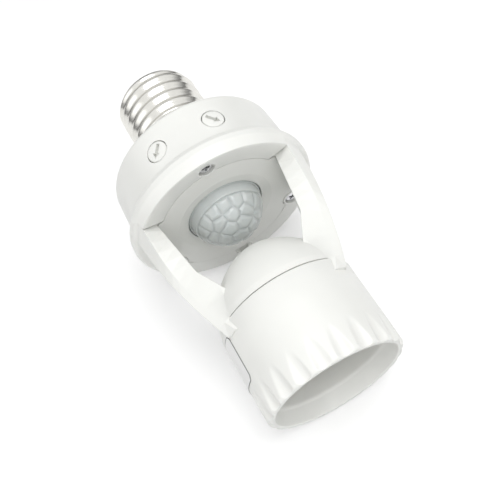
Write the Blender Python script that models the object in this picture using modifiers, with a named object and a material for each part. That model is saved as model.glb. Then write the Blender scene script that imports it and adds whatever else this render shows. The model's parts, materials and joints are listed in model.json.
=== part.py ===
"""Lamp socket with a built-in motion sensor.

A screw cap at the top goes into a lamp holder. Below it a round housing holds
the sensor's circuit, with two dials in its side wall. A bezel with two arms
carries the bulb socket, so that the lens in the bezel's window can look out
between the arms. The mouth of the bulb socket is at z = 0, the common axis is
Z, and the dials face -Y.
"""

import math

import bmesh
import bpy
from mathutils import Matrix, Vector

MM = 0.001

# General fits
GAP = 0.3 * MM
WALL = 1.8 * MM
STEPS = 40
RING_STEPS = 66
THREAD_STEPS = 28
HOLE_STEPS = 16

# Bulb socket: fluted skirt and dome
SKIRT_HEIGHT = 24.8 * MM
SKIRT_WALL = 2.0 * MM
MOUTH_CHAMFER = 0.5 * MM
MOUTH_EDGE = 0.85 * MM
COLLAR_DEPTH = 20.2 * MM
COLLAR_WALL = 2.8 * MM
COLLAR_SPACE = 2.85 * MM
SPIGOT_LENGTH = 2.0 * MM
SPIGOT_WALL = 1.5 * MM
FLUTE_COUNT = 22
FLUTE_RADIUS = 2.6 * MM
FLUTE_DEPTH = 1.15 * MM
FLUTE_LENGTH = 8.2 * MM
FLUTE_TURN = -3.6
DOME_SHOULDER = 0.3 * MM
DOME_HEIGHT = 19.8 * MM
DOME_POWER = 1.7
BOSS_RADIUS = 2.6 * MM
BOSS_SPACING = 15.0 * MM

# Screw thread of the bulb and of the cap
THREAD_PITCH = 3.63 * MM
THREAD_RADIUS = 13.2 * MM
THREAD_DEPTH = 1.1 * MM
SHELL_WALL = 0.4 * MM
THREAD_CLEARANCE = 0.25 * MM

# Contacts at the bottom of the bulb socket
SHELL_RISE = 4.45 * MM
SHELL_TURNS = 5
SHELL_RIVET_RADIUS = 10.4 * MM
BASE_THICKNESS = 2.5 * MM
TONGUE_WIDTH = 5.0 * MM
TONGUE_LENGTH = 9.0 * MM
TONGUE_THICKNESS = 0.5 * MM
TONGUE_RISE = 2.2 * MM
TONGUE_TRAVEL = 10.0

# Arms that carry the socket
ARM_SPAN = 35.2 * MM
ARM_WALL = 1.5 * MM
ARM_END = 3.8 * MM
ARM_PROUD = 1.0 * MM
ARM_FRONT_AZIMUTH = 53.6
ARM_END_AZIMUTH = 46.0
ARM_END_OUTER_AZIMUTH = 55.5
ARM_FRONT_BOW = (2.25 * MM, 3.6 * MM)
ARM_OUTER_BOW = (1.4 * MM, -0.3 * MM)
ARM_INSET = 2.9 * MM
ARM_FRONT_Y = -9.3 * MM
ARM_REAR_INSET = 3.6 * MM
ARM_REAR_Y = 8.0 * MM
ARM_REAR_TUCK = 5.6 * MM
ARM_REAR_END_Y = 5.0 * MM
ARM_REAR_WIDTH = 3.8 * MM
KNEE_RISE = 16.4 * MM
KNEE_INSET = 2.95 * MM
GUSSET_DROP = 8.8 * MM
GUSSET_WIDTH = 4.4 * MM
COVER_THICKNESS = 1.2 * MM

# Bezel with its window
BEZEL_RADIUS = 28.6 * MM
BEZEL_HEIGHT = 4.6 * MM
BEZEL_EDGE = 1.4 * MM
BEZEL_SEAM_INSET = 0.8 * MM
BROW_DROP = 1.8 * MM
BROW_TAPER = 0.95 * MM
BROW_LIP = 0.65 * MM
LEDGE_THICKNESS = 1.2 * MM
LEDGE_WIDTH = 6.4 * MM
BEZEL_SPIGOT_WALL = 1.3 * MM
BEZEL_SPIGOT_HEIGHT = 1.6 * MM
NOTCH_WIDTH = 3.2 * MM
NOTCH_RIB_WIDTH = 1.1 * MM
NOTCH_RIB_HEIGHT = 1.1 * MM

# Sensor plate and lens
PLATE_INSET = 1.2 * MM
PLATE_FRONT_INSET = 1.6 * MM
PLATE_SIDE_INSET = 3.5 * MM
PLATE_THICKNESS = 2.5 * MM
PLATE_FLANGE = 1.0 * MM
PLATE_LIP = 1.5 * MM
DISH_RADIUS = 14.8 * MM
DISH_DEPTH = 0.6 * MM
LENS_RADIUS = 11.55 * MM
LENS_FLANGE = 1.6 * MM
LENS_DOME_RADIUS = 11.2 * MM
LENS_DOME_HEIGHT = 7.6 * MM
LENS_WALL = 0.9 * MM
LENS_RINGS = 3
LENS_RING_TILT = 23.0
LENS_FACET_CURVE = 0.5
LENS_FACET_LIMIT = 62.0

# Screws that hold the bezel to the housing
SCREW_OUTSET = 0.1 * MM
SCREW_FRONT_INSET = 0.2 * MM
SCREW_AZIMUTHS = {"front": 0.0, "right": 120.0, "left": -120.0}
SCREW_HEAD_RADIUS = 2.2 * MM
SCREW_HEAD_HEIGHT = 1.2 * MM
SCREW_SHANK_RADIUS = 1.1 * MM
SCREW_LENGTH = 8.0 * MM
SCREW_PAD_RADIUS = 3.2 * MM
SCREW_PAD_HEIGHT = 3.0 * MM
SCREW_PAD_PROUD = 0.15 * MM
POST_RADIUS = 2.7 * MM

# Upper housing
HOUSING_INSET = 2.1 * MM
HOUSING_TAPER = 0.4 * MM
HOUSING_FLARE = 2.2 * MM
HOUSING_HEIGHT = 15.8 * MM
HOUSING_CORNER = 1.8 * MM
SHOULDER_RISE = 3.6 * MM
NECK_RADIUS = 14.6 * MM
NECK_HEIGHT = 2.6 * MM
CAP_SPIGOT_HEIGHT = 9.0 * MM

# Screw cap
CAP_SKIRT = 4.9 * MM
CAP_FLANGE_RADIUS = 14.0 * MM
CAP_FLANGE_HEIGHT = 0.8 * MM
CAP_BAND_RADIUS = 13.1 * MM
CAP_TURNS = 5
CAP_END = 0.9 * MM
INSULATOR_RADIUS = 9.0 * MM
INSULATOR_HEIGHT = 2.2 * MM
CONTACT_RADIUS = 4.8 * MM
CONTACT_HEIGHT = 1.1 * MM

# Dials and their potentiometers
DIAL_RADIUS = 3.0 * MM
DIAL_THICKNESS = 2.2 * MM
DIAL_AZIMUTH = 19.2
DIAL_HEIGHT = 6.6 * MM
DIAL_SHAFT_RADIUS = 1.2 * MM
DIAL_SHAFT_LENGTH = 2.4 * MM
ARROW_ANGLE = 42.0
ARROW_DEPTH = 0.6 * MM
ARROW_LENGTH = 4.2 * MM
ARROW_WIDTH = 1.0 * MM
ARROW_HEAD = 2.0 * MM
POT_WIDTH = 7.8 * MM
POT_HEIGHT = 8.0 * MM
POT_DEPTH = 5.0 * MM

# Circuit
BOARD_THICKNESS = 1.6 * MM
SENSOR_CAN_RADIUS = 4.6 * MM
SENSOR_CAN_HEIGHT = 3.9 * MM
LIGHT_SENSOR_RADIUS = 1.8 * MM
LIGHT_SENSOR_HEIGHT = 1.6 * MM
LIGHT_SENSOR_OFFSET = 6.9 * MM
RELAY_SIZE = (18.4 * MM, 10.2 * MM, 12.6 * MM)
RELAY_Y = 4.2 * MM
FILM_CAPACITOR_SIZE = (13.0 * MM, 5.0 * MM, 9.5 * MM)
FILM_CAPACITOR_Y = -6.6 * MM
CAN_CAPACITOR_RADIUS = 4.0 * MM
CAN_CAPACITOR_HEIGHT = 10.5 * MM
CAN_CAPACITOR_PLACE = (-15.2 * MM, 3.0 * MM)
WIRE_RADIUS = 0.8 * MM

# Heights that follow from the sizes above
Z_SEAM = SKIRT_HEIGHT + GAP
Z_PLATE = SKIRT_HEIGHT + ARM_SPAN
Z_BEZEL_TOP = Z_PLATE + BEZEL_HEIGHT
Z_HOUSING = Z_BEZEL_TOP + GAP
Z_SHOULDER = Z_HOUSING + HOUSING_HEIGHT
Z_NECK = Z_SHOULDER + SHOULDER_RISE
Z_CAP = Z_NECK + NECK_HEIGHT + GAP
Z_CAP_THREAD = Z_CAP + CAP_SKIRT
Z_CAP_END = Z_CAP_THREAD + CAP_TURNS * THREAD_PITCH + CAP_END
Z_SHELL_TOP = Z_SEAM + SHELL_RISE
Z_SHELL = Z_SHELL_TOP - SHELL_WALL - SHELL_TURNS * THREAD_PITCH
Z_BASE = Z_SHELL_TOP + GAP
Z_BOSS = Z_BASE + BASE_THICKNESS + GAP
Z_PLATE_TOP = Z_PLATE + PLATE_THICKNESS
Z_LENS = Z_PLATE + DISH_DEPTH
Z_LENS_FLANGE = Z_PLATE_TOP + GAP
Z_BOARD = Z_LENS_FLANGE + LENS_FLANGE + GAP
Z_BOARD_TOP = Z_BOARD + BOARD_THICKNESS
Z_PAD_TOP = Z_PLATE + SCREW_PAD_HEIGHT
Z_DIAL = Z_HOUSING + DIAL_HEIGHT
Z_SCREW_HEAD = Z_PLATE + 0.2 * MM
Z_KNEE = Z_SEAM + KNEE_RISE

# Radii that follow from the sizes above
SHELL_OUTER_RADIUS = THREAD_RADIUS + THREAD_CLEARANCE + SHELL_WALL
BASE_RADIUS = SHELL_OUTER_RADIUS - 0.6 * MM
SKIRT_RADIUS = SHELL_OUTER_RADIUS + COLLAR_SPACE + COLLAR_WALL
DOME_RADIUS = SKIRT_RADIUS - DOME_SHOULDER
HOUSING_RADIUS = BEZEL_RADIUS - HOUSING_INSET
HOUSING_INNER = HOUSING_RADIUS - WALL
BEZEL_SPIGOT_RADIUS = HOUSING_INNER - GAP
BEZEL_BORE = BEZEL_SPIGOT_RADIUS - BEZEL_SPIGOT_WALL
PLATE_RADIUS = BEZEL_BORE - PLATE_INSET
PLATE_FRONT_RADIUS = PLATE_RADIUS - PLATE_FRONT_INSET
PLATE_HALF_WIDTH = PLATE_RADIUS - PLATE_SIDE_INSET
SCREW_RADIUS = BEZEL_BORE + SCREW_OUTSET
SCREW_FRONT_RADIUS = BEZEL_BORE - SCREW_FRONT_INSET
BOARD_RADIUS = BEZEL_BORE - GAP
BEZEL_SEAM_RADIUS = BEZEL_RADIUS - BEZEL_SEAM_INSET
BROW_RADIUS = BEZEL_RADIUS - BROW_TAPER
CAP_BORE = THREAD_RADIUS - THREAD_DEPTH - SHELL_WALL
CAP_SPIGOT_RADIUS = CAP_BORE - GAP
CAP_SPIGOT_BORE = CAP_SPIGOT_RADIUS - WALL
TONGUE_LIMIT_RADIUS = SKIRT_RADIUS - 1.2 * MM

# Stretch of an outgoing wire's smooth route that crosses the dome's wall
DOME_CROSSING = slice(11, 16)

PARTS = None
CUTTERS = None


# Scene, materials and mesh helpers

def clear_scene():
    for obj in list(bpy.data.objects):
        bpy.data.objects.remove(obj, do_unlink=True)


def make_collections():
    global PARTS, CUTTERS
    PARTS = bpy.data.collections.new("sensor_lamp_socket")
    CUTTERS = bpy.data.collections.new("cutters")
    bpy.context.scene.collection.children.link(PARTS)
    bpy.context.scene.collection.children.link(CUTTERS)


def make_material(name, colour, roughness, metallic=0.0, transmission=0.0):
    material = bpy.data.materials.new(name)
    material.use_nodes = True
    shader = material.node_tree.nodes["Principled BSDF"]
    shader.inputs["Base Color"].default_value = (*colour, 1.0)
    shader.inputs["Roughness"].default_value = roughness
    shader.inputs["Metallic"].default_value = metallic
    shader.inputs["Transmission Weight"].default_value = transmission
    return material


def add_object(name, mesh, material=None):
    """Link a mesh as a part, or as a cutter when it has no material."""
    obj = bpy.data.objects.new(name, mesh)
    if material is None:
        CUTTERS.objects.link(obj)
        obj.hide_render = True
        obj.display_type = "WIRE"
    else:
        PARTS.objects.link(obj)
        mesh.materials.append(material)
    return obj


def mesh_from(bm, name):
    bmesh.ops.recalc_face_normals(bm, faces=bm.faces)
    mesh = bpy.data.meshes.new(name)
    bm.to_mesh(mesh)
    bm.free()
    return mesh


def turned(name, profile, material=None, closed=True, steps=STEPS):
    """Turn an (r, z) profile round Z; it runs down the outer side first."""
    bm = bmesh.new()
    points = [bm.verts.new((radius, 0.0, height)) for radius, height in profile]
    for start, end in zip(points, points[1:]):
        bm.edges.new((start, end))
    if closed:
        bm.edges.new((points[-1], points[0]))
    mesh = bpy.data.meshes.new(name)
    bm.to_mesh(mesh)
    bm.free()
    obj = add_object(name, mesh, material)
    screw = obj.modifiers.new("turn", "SCREW")
    screw.axis = "Z"
    screw.steps = steps
    screw.render_steps = steps
    screw.use_merge_vertices = True
    screw.merge_threshold = 0.00001
    screw.use_smooth_shade = True
    return obj


def cylinder(name, radius, bottom, top, place=(0.0, 0.0), material=None, steps=HOLE_STEPS):
    """Upright cylinder, turned a little so that its corners miss those it meets."""
    bm = bmesh.new()
    bmesh.ops.create_cone(bm, cap_ends=True, segments=steps, radius1=radius,
                          radius2=radius, depth=top - bottom,
                          matrix=Matrix.Rotation(math.radians(2.3), 4, "Z"))
    middle = Vector((place[0], place[1], (top + bottom) / 2))
    bmesh.ops.translate(bm, verts=bm.verts, vec=middle)
    return add_object(name, mesh_from(bm, name), material)


def box(name, size, centre, material=None, bevel=0.0):
    bm = bmesh.new()
    bmesh.ops.create_cube(bm, size=1.0)
    bmesh.ops.scale(bm, verts=bm.verts, vec=size)
    obj = add_object(name, mesh_from(bm, name), material)
    obj.location = centre
    if bevel:
        rounding = obj.modifiers.new("edges", "BEVEL")
        rounding.width = bevel
        rounding.segments = 2
    return obj


def prism(name, outline, bottom, top, material=None):
    """Raise a flat outline, a list of (x, y), from bottom to top."""
    bm = bmesh.new()
    base = bm.faces.new([bm.verts.new((x, y, bottom)) for x, y in outline])
    raised = bmesh.ops.extrude_face_region(bm, geom=[base])
    moved = [item for item in raised["geom"] if isinstance(item, bmesh.types.BMVert)]
    bmesh.ops.translate(bm, verts=moved, vec=(0.0, 0.0, top - bottom))
    return add_object(name, mesh_from(bm, name), material)


def loft(name, sections, material=None):
    """Join sections with equal counts of points, from the lowest to the highest."""
    bm = bmesh.new()
    rows = [[bm.verts.new(point) for point in section] for section in sections]
    for lower, upper in zip(rows, rows[1:]):
        for index, corner in enumerate(lower):
            following = (index + 1) % len(lower)
            bm.faces.new((corner, lower[following], upper[following], upper[index]))
    bm.faces.new(rows[0])
    bm.faces.new(rows[-1])
    bmesh.ops.triangulate(bm, faces=bm.faces)
    return add_object(name, mesh_from(bm, name), material)


def cut(obj, cutter, operation="DIFFERENCE"):
    boolean = obj.modifiers.new(cutter.name, "BOOLEAN")
    boolean.operation = operation
    boolean.object = cutter
    boolean.solver = "EXACT"


def bake(obj):
    """Apply the modifiers, then shade the round faces smooth."""
    evaluated = obj.evaluated_get(bpy.context.evaluated_depsgraph_get())
    mesh = bpy.data.meshes.new_from_object(evaluated)
    obj.modifiers.clear()
    obj.data = mesh
    mesh.shade_smooth()
    mesh.set_sharp_from_angle(angle=math.radians(35.0))


def polar(radius, azimuth):
    """Point at an azimuth in degrees, measured from the front towards +X."""
    angle = math.radians(azimuth)
    return radius * math.sin(angle), -radius * math.cos(angle)


def arc(centre, radius, start, end, count):
    """Points on an arc in the (r, z) plane, angles in degrees."""
    points = []
    for index in range(count + 1):
        angle = math.radians(start + (end - start) * index / count)
        points.append((centre[0] + radius * math.cos(angle), centre[1] + radius * math.sin(angle)))
    return points


def offset_polygon(points, distances):
    """Move each side of a convex outline inwards by its own distance."""
    moved = []
    for index, start in enumerate(points):
        end = points[(index + 1) % len(points)]
        along = Vector(end) - Vector(start)
        inward = Vector((-along.y, along.x)).normalized()
        moved.append((Vector(start) + inward * distances[index], along))
    corners = []
    for index, (start, along) in enumerate(moved):
        before, before_along = moved[index - 1]
        cross = before_along.x * along.y - before_along.y * along.x
        reach = start - before
        share = (reach.x * along.y - reach.y * along.x) / cross
        corners.append(before + before_along * share)
    return [(corner.x, corner.y) for corner in corners]


# Bulb socket

def dome_profile(offset, bottom, count=12):
    """Rounded outline of the dome, drawn in by an offset, from its top down."""
    radius = DOME_RADIUS - offset
    height = DOME_HEIGHT - offset
    points = []
    for index in range(count + 1):
        angle = math.radians(90.0 * index / count)
        across = radius * math.sin(angle) ** (2.0 / DOME_POWER)
        above = height * math.cos(angle) ** (2.0 / DOME_POWER)
        points.append((across, Z_SEAM + above))
    points[0] = (0.0, points[0][1])
    points[-1] = (radius, bottom)
    return points


def build_skirt(plastic):
    inner = SKIRT_RADIUS - SKIRT_WALL
    collar = SKIRT_RADIUS - COLLAR_WALL
    spigot = DOME_RADIUS - WALL - 2 * GAP
    spigot_top = SKIRT_HEIGHT + SPIGOT_LENGTH
    step = SKIRT_HEIGHT - COLLAR_DEPTH
    profile = [
        (spigot, spigot_top),
        (spigot, SKIRT_HEIGHT),
        (SKIRT_RADIUS, SKIRT_HEIGHT),
        (SKIRT_RADIUS, 1.9 * MOUTH_EDGE),
        (SKIRT_RADIUS - 0.3 * MOUTH_EDGE, 0.7 * MOUTH_EDGE),
        (SKIRT_RADIUS - MOUTH_EDGE, 0.0),
        (inner, 0.0),
        (inner, step - MOUTH_CHAMFER),
        (collar, step + MOUTH_CHAMFER),
        (collar, SKIRT_HEIGHT),
        (spigot - SPIGOT_WALL, SKIRT_HEIGHT + MOUTH_CHAMFER),
        (spigot - SPIGOT_WALL, spigot_top),
    ]
    skirt = turned("socket_skirt", profile, plastic, steps=2 * FLUTE_COUNT + 4)
    cut(skirt, flute_cutter())
    for side in (1, -1):
        cut(skirt, arm_pocket(side))
    return skirt


def flute_cutter():
    """Round bars that lean outwards, so each flute is deepest at the mouth."""
    bm = bmesh.new()
    lean = math.atan2(FLUTE_DEPTH, FLUTE_LENGTH)
    length = 3 * FLUTE_LENGTH
    for index in range(FLUTE_COUNT):
        bar = bmesh.ops.create_cone(bm, cap_ends=True, segments=16, radius1=FLUTE_RADIUS,
                                    radius2=FLUTE_RADIUS, depth=length)["verts"]
        tilt = Matrix.Rotation(lean, 4, "Y")
        out = SKIRT_RADIUS + FLUTE_RADIUS - FLUTE_DEPTH
        shift = Matrix.Translation((out, 0.0, 0.0))
        azimuth = 360.0 * (index + 0.5) / FLUTE_COUNT + FLUTE_TURN
        turn = Matrix.Rotation(math.radians(azimuth), 4, "Z")
        bmesh.ops.transform(bm, matrix=turn @ shift @ tilt, verts=bar)
    return add_object("flutes", mesh_from(bm, "flutes"))


def thread_wave(bottom, turns, count=4):
    """Radii and heights of a rounded thread, from its bottom up."""
    points = []
    for index in range(turns * count + 1):
        swing = 0.5 + 0.5 * math.cos(2 * math.pi * index / count)
        radius = THREAD_RADIUS - THREAD_DEPTH * swing
        points.append((radius, bottom + THREAD_PITCH * index / count))
    return points


def build_socket_shell(metal):
    grow = THREAD_CLEARANCE + SHELL_WALL
    wave = thread_wave(Z_SHELL, SHELL_TURNS)
    outer = [(radius + grow, height) for radius, height in wave]
    inner = [(radius + THREAD_CLEARANCE, height) for radius, height in wave]
    rim = SHELL_RIVET_RADIUS + 1.1 * MM
    profile = [(rim, Z_SHELL_TOP)]
    profile += [(outer[-1][0], Z_SHELL_TOP)]
    profile += outer[-2::-1]
    profile += inner[:-1]
    profile += [(inner[-1][0], Z_SHELL_TOP - SHELL_WALL), (rim, Z_SHELL_TOP - SHELL_WALL)]
    return turned("socket_thread_shell", profile, metal, steps=THREAD_STEPS)


def build_contact_base(plastic):
    """Insulating disc at the bottom of the bulb socket, screwed to the dome."""
    top = Z_BASE + BASE_THICKNESS
    pedestal = CONTACT_RADIUS + MOUTH_CHAMFER
    profile = [
        (0.0, top),
        (BASE_RADIUS - MOUTH_CHAMFER, top),
        (BASE_RADIUS, top - MOUTH_CHAMFER),
        (BASE_RADIUS, Z_BASE),
        (pedestal, Z_BASE),
        (pedestal, Z_BASE - SHELL_WALL),
        (0.0, Z_BASE - SHELL_WALL),
    ]
    base = turned("contact_base", profile, plastic, closed=False, steps=THREAD_STEPS)
    for side in (1, -1):
        place = (side * BOSS_SPACING / 2, 0.0)
        cut(base, cylinder(f"base_hole_{side}", 1.4 * MM, Z_BASE - WALL, top + WALL, place))
        cut(base, cylinder(f"base_sink_{side}", 2.2 * MM, Z_BASE - WALL, Z_BASE + 1.0 * MM, place))
    rivet = (0.0, TONGUE_LENGTH / 2)
    cut(base, cylinder("rivet_hole", 1.1 * MM, Z_BASE - WALL, top + WALL, rivet))
    terminal = (0.0, -SHELL_RIVET_RADIUS)
    cut(base, cylinder("terminal_hole", 1.1 * MM, Z_BASE - WALL, top + WALL, terminal))
    return base


def build_contacts(brass):
    """Spring tongue for the bulb's tip, and the rivets that hold the contacts."""
    root = Z_BASE - SHELL_WALL - GAP
    hinge_y = TONGUE_LENGTH / 2 - 2.0 * MM
    bm = bmesh.new()
    bend = [(0.0, 0.0), (-TONGUE_LENGTH * 0.55, -TONGUE_RISE), (-TONGUE_LENGTH * 0.8, -TONGUE_RISE * 0.75)]
    rows = []
    for along, below in bend:
        half = TONGUE_WIDTH / 2
        rows.append([bm.verts.new((-half, along, below)), bm.verts.new((half, along, below))])
    for lower, upper in zip(rows, rows[1:]):
        bm.faces.new((lower[0], lower[1], upper[1], upper[0]))
    tongue = add_object("centre_contact_tongue", mesh_from(bm, "centre_contact_tongue"), brass)
    tongue.location = (0.0, hinge_y, root - TONGUE_THICKNESS)
    shell = tongue.modifiers.new("thickness", "SOLIDIFY")
    shell.thickness = TONGUE_THICKNESS
    shell.offset = 0.0
    rivet_y = TONGUE_LENGTH / 2
    top = Z_BASE + BASE_THICKNESS
    for name, place_y, foot in (("centre_contact_rivet", rivet_y, root),
                                ("shell_rivet", -SHELL_RIVET_RADIUS, Z_SHELL_TOP - SHELL_WALL - GAP)):
        head = 1.6 * MM
        thin = 0.5 * MM
        shank = 0.8 * MM
        profile = [
            (0.0, top + GAP + thin),
            (head, top + GAP + thin),
            (head, top + GAP),
            (shank, top + GAP),
            (shank, foot),
            (head, foot),
            (head, foot - thin),
            (0.0, foot - thin),
        ]
        rivet = turned(name, profile, brass, closed=False, steps=HOLE_STEPS)
        rivet.location = (0.0, place_y, 0.0)
    return tongue


def build_base_screws(steel):
    for name, side in (("base_screw_right", 1), ("base_screw_left", -1)):
        screw = turned(name, screw_profile(1.8 * MM, 0.9 * MM, 0.95 * MM, 6.5 * MM), steel,
                       closed=False, steps=HOLE_STEPS)
        screw.location = (side * BOSS_SPACING / 2, 0.0, Z_BASE)


def screw_profile(head_radius, head_height, shank_radius, length):
    """Pan-head screw that stands point up, its head's face at z = 0."""
    return [
        (0.0, length),
        (shank_radius * 0.3, length),
        (shank_radius, length - 2 * shank_radius),
        (shank_radius, head_height),
        (head_radius, head_height),
        (head_radius, head_height * 0.4),
        (head_radius * 0.8, 0.0),
        (0.0, 0.0),
    ]


# Yoke: bezel, arms and dome in one moulding

def arm_lines():
    """Corner lines of the right arm: upper point, lower point and outward bow."""
    low = SKIRT_HEIGHT - ARM_END
    straight = (0.0, 0.0)
    front = (*polar(BROW_RADIUS - 0.1 * MM, ARM_FRONT_AZIMUTH), Z_PLATE - BROW_DROP)
    front_end = (*polar(SKIRT_RADIUS + ARM_PROUD * 0.5, ARM_END_AZIMUTH), low)
    outer = (BEZEL_RADIUS - ARM_INSET, ARM_FRONT_Y, Z_PLATE)
    outer_end = (*polar(SKIRT_RADIUS + ARM_PROUD, ARM_END_OUTER_AZIMUTH), low)
    rear = (BEZEL_RADIUS - ARM_REAR_INSET, ARM_REAR_Y, Z_PLATE)
    rear_end = (SKIRT_RADIUS - ARM_REAR_TUCK, ARM_REAR_END_Y, low)
    back = (rear[0] - ARM_REAR_WIDTH, ARM_REAR_Y + GAP, Z_PLATE)
    back_end = (rear_end[0] + GAP, ARM_REAR_END_Y - 2.0 * MM, Z_SEAM + DOME_HEIGHT / 2)
    return [(front, front_end, ARM_FRONT_BOW), (outer, outer_end, ARM_OUTER_BOW),
            (rear, rear_end, (ARM_OUTER_BOW[0], 0.0)), (back, back_end, straight)]


def arm_inside(height):
    """Inner front corner of the right arm, which spreads below a knee to meet the dome."""
    top = (PLATE_HALF_WIDTH + GAP, polar(PLATE_RADIUS, 56.0)[1])
    knee = (top[0] - KNEE_INSET, top[1] + GAP)
    if height > Z_KNEE:
        share = (height - Z_KNEE) / (Z_PLATE - Z_KNEE)
        return tuple(low + (high - low) * share for low, high in zip(knee, top))
    share = (Z_KNEE - height) / GUSSET_DROP
    return knee[0] - GUSSET_WIDTH * share, knee[1] - GAP * share


def arm_section(height):
    """Outline of the right arm at a height, as (x, y) corners in turn."""
    section = []
    for upper, lower, bow in arm_lines():
        share = max((height - lower[2]) / (upper[2] - lower[2]), -0.35)
        swell = max(4.0 * share * (1.0 - share), 0.0)
        section.append((lower[0] + (upper[0] - lower[0]) * share + bow[0] * swell,
                        lower[1] + (upper[1] - lower[1]) * share + bow[1] * swell))
    return section + [arm_inside(height)]


def arm_loft(name, side, bottom, top, outline, count=12, material=None):
    """Loft from bottom to top through the outline that a function gives for a height."""
    below = count // 2
    above = count - below
    heights = [bottom + (Z_KNEE - bottom) * index / below for index in range(below)]
    heights += [Z_KNEE + (top - Z_KNEE) * index / above for index in range(above + 1)]
    if top < Z_KNEE:
        heights = [bottom, (bottom + top) / 2, top]
    sections = [[(side * x, y, height) for x, y in outline(height)] for height in heights]
    return loft(name, sections, material)


def inner_side(height, inset):
    """Ends of the arm's inner side at a height, drawn together by an inset.

    The third value is the direction out of the arm's inner face.
    """
    section = [Vector(corner) for corner in arm_section(height)]
    back, inside = section[3], section[4]
    along = (inside - back).normalized()
    outward = Vector((along.y, -along.x))
    return back + along * inset, inside - along * inset, outward


def channel_outline(height):
    """Section of the wire channel, open at the arm's inner face."""
    deep = offset_polygon(arm_section(height), (ARM_WALL,) * 5)
    back, inside, outward = inner_side(height, ARM_WALL)
    corners = [deep[0], deep[1], deep[2]]
    over = outward * 2 * GAP
    for corner in (back, back + over, inside + over, inside):
        corners.append((corner.x, corner.y))
    return corners


def cover_outline(height):
    """Section of the cover that closes the wire channel."""
    back, inside, outward = inner_side(height, ARM_WALL + GAP)
    deep = outward * COVER_THICKNESS
    return [(corner.x, corner.y) for corner in (inside, inside - deep, back - deep, back)]


def side_name(side):
    return "right" if side > 0 else "left"


def arm_body(side):
    bottom = SKIRT_HEIGHT - ARM_END
    top = Z_PLATE + LEDGE_THICKNESS / 2
    arm = arm_loft(f"arm_{side_name(side)}", side, bottom, top, arm_section)
    cut(arm, cylinder(f"skirt_space_{side_name(side)}", TONGUE_LIMIT_RADIUS, bottom - WALL,
                      Z_SEAM + WALL / 3, steps=STEPS))
    return arm


def arm_cavity(side):
    """Wire channel, open at the arm's inner face, at the window and in the dome."""
    bottom = Z_SEAM + SPIGOT_LENGTH + WALL
    top = Z_PLATE + 2 * LEDGE_THICKNESS
    return arm_loft(f"channel_{side_name(side)}", side, bottom, top, channel_outline)


def arm_pocket(side):
    """Space in the skirt's collar for the end of an arm."""
    bottom = SKIRT_HEIGHT - ARM_END - GAP

    def outline(height):
        return offset_polygon(arm_section(height), (-GAP,) * 5)

    pocket = arm_loft(f"pocket_{side_name(side)}", side, bottom, Z_SEAM + SPIGOT_LENGTH, outline)
    core = cylinder(f"pocket_core_{side_name(side)}", TONGUE_LIMIT_RADIUS - GAP,
                    bottom - WALL, Z_SEAM + SPIGOT_LENGTH + WALL, steps=STEPS)
    cut(pocket, core)
    return pocket


def build_arm_cover(side, plastic):
    """Cover that closes an arm's wire channel, flush with its inner face."""
    name = f"{side_name(side)}_arm_cover"
    cover = arm_loft(name, side, Z_SEAM + GAP, Z_PLATE - GAP, cover_outline, material=plastic)
    around = dome_profile(-GAP, Z_SEAM - WALL) + [(0.0, Z_SEAM - WALL)]
    cut(cover, turned(f"dome_clearance_{side_name(side)}", around, closed=False))
    return cover


def bezel_ring(plastic):
    """Turned ring of the bezel, with the brow still running all the way round."""
    brow = Z_PLATE - BROW_DROP
    ledge = Z_PLATE + LEDGE_THICKNESS
    inner = BROW_RADIUS - BROW_LIP - LEDGE_WIDTH
    profile = [
        (BEZEL_SPIGOT_RADIUS, Z_BEZEL_TOP + BEZEL_SPIGOT_HEIGHT),
        (BEZEL_SPIGOT_RADIUS, Z_BEZEL_TOP),
        (BEZEL_SEAM_RADIUS, Z_BEZEL_TOP),
        (BEZEL_RADIUS, Z_BEZEL_TOP - 2 * BEZEL_SEAM_INSET),
        (BEZEL_RADIUS, Z_PLATE + BEZEL_EDGE),
        (BROW_RADIUS, brow),
        (BROW_RADIUS - BROW_LIP, brow),
        (inner, Z_PLATE),
        (inner, ledge),
        (BEZEL_BORE, ledge),
        (BEZEL_BORE, Z_BEZEL_TOP + BEZEL_SPIGOT_HEIGHT),
    ]
    return turned("bezel_yoke", profile, plastic, steps=RING_STEPS)


def rear_relief():
    """What is cut from the ring beside and behind the brow."""
    edge = arc((BEZEL_RADIUS - BEZEL_EDGE, Z_PLATE + BEZEL_EDGE), BEZEL_EDGE, 0.0, -90.0, 4)
    low = Z_PLATE - 2 * BROW_DROP
    recess = PLATE_RADIUS + GAP
    profile = [(BEZEL_RADIUS + WALL, Z_PLATE + BEZEL_EDGE)]
    profile = profile[::-1] + [(BEZEL_RADIUS + WALL, low), (PLATE_FRONT_RADIUS - WALL, low),
                               (PLATE_FRONT_RADIUS - WALL, Z_PLATE + 2 * LEDGE_THICKNESS),
                               (recess, Z_PLATE + 2 * LEDGE_THICKNESS), (recess, Z_PLATE)]
    profile += edge[::-1]
    relief = turned("rear_relief", profile)
    reach = 2 * BEZEL_RADIUS
    outline = [(0.0, 0.0), polar(reach, ARM_FRONT_AZIMUTH), (reach, reach), (-reach, reach),
               polar(reach, -ARM_FRONT_AZIMUTH)]
    cut(relief, prism("rear_sector", outline, low - WALL, Z_BEZEL_TOP), "INTERSECT")
    return relief


def screw_place(name):
    radius = SCREW_FRONT_RADIUS if name == "front" else SCREW_RADIUS
    return polar(radius, SCREW_AZIMUTHS[name])


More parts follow.
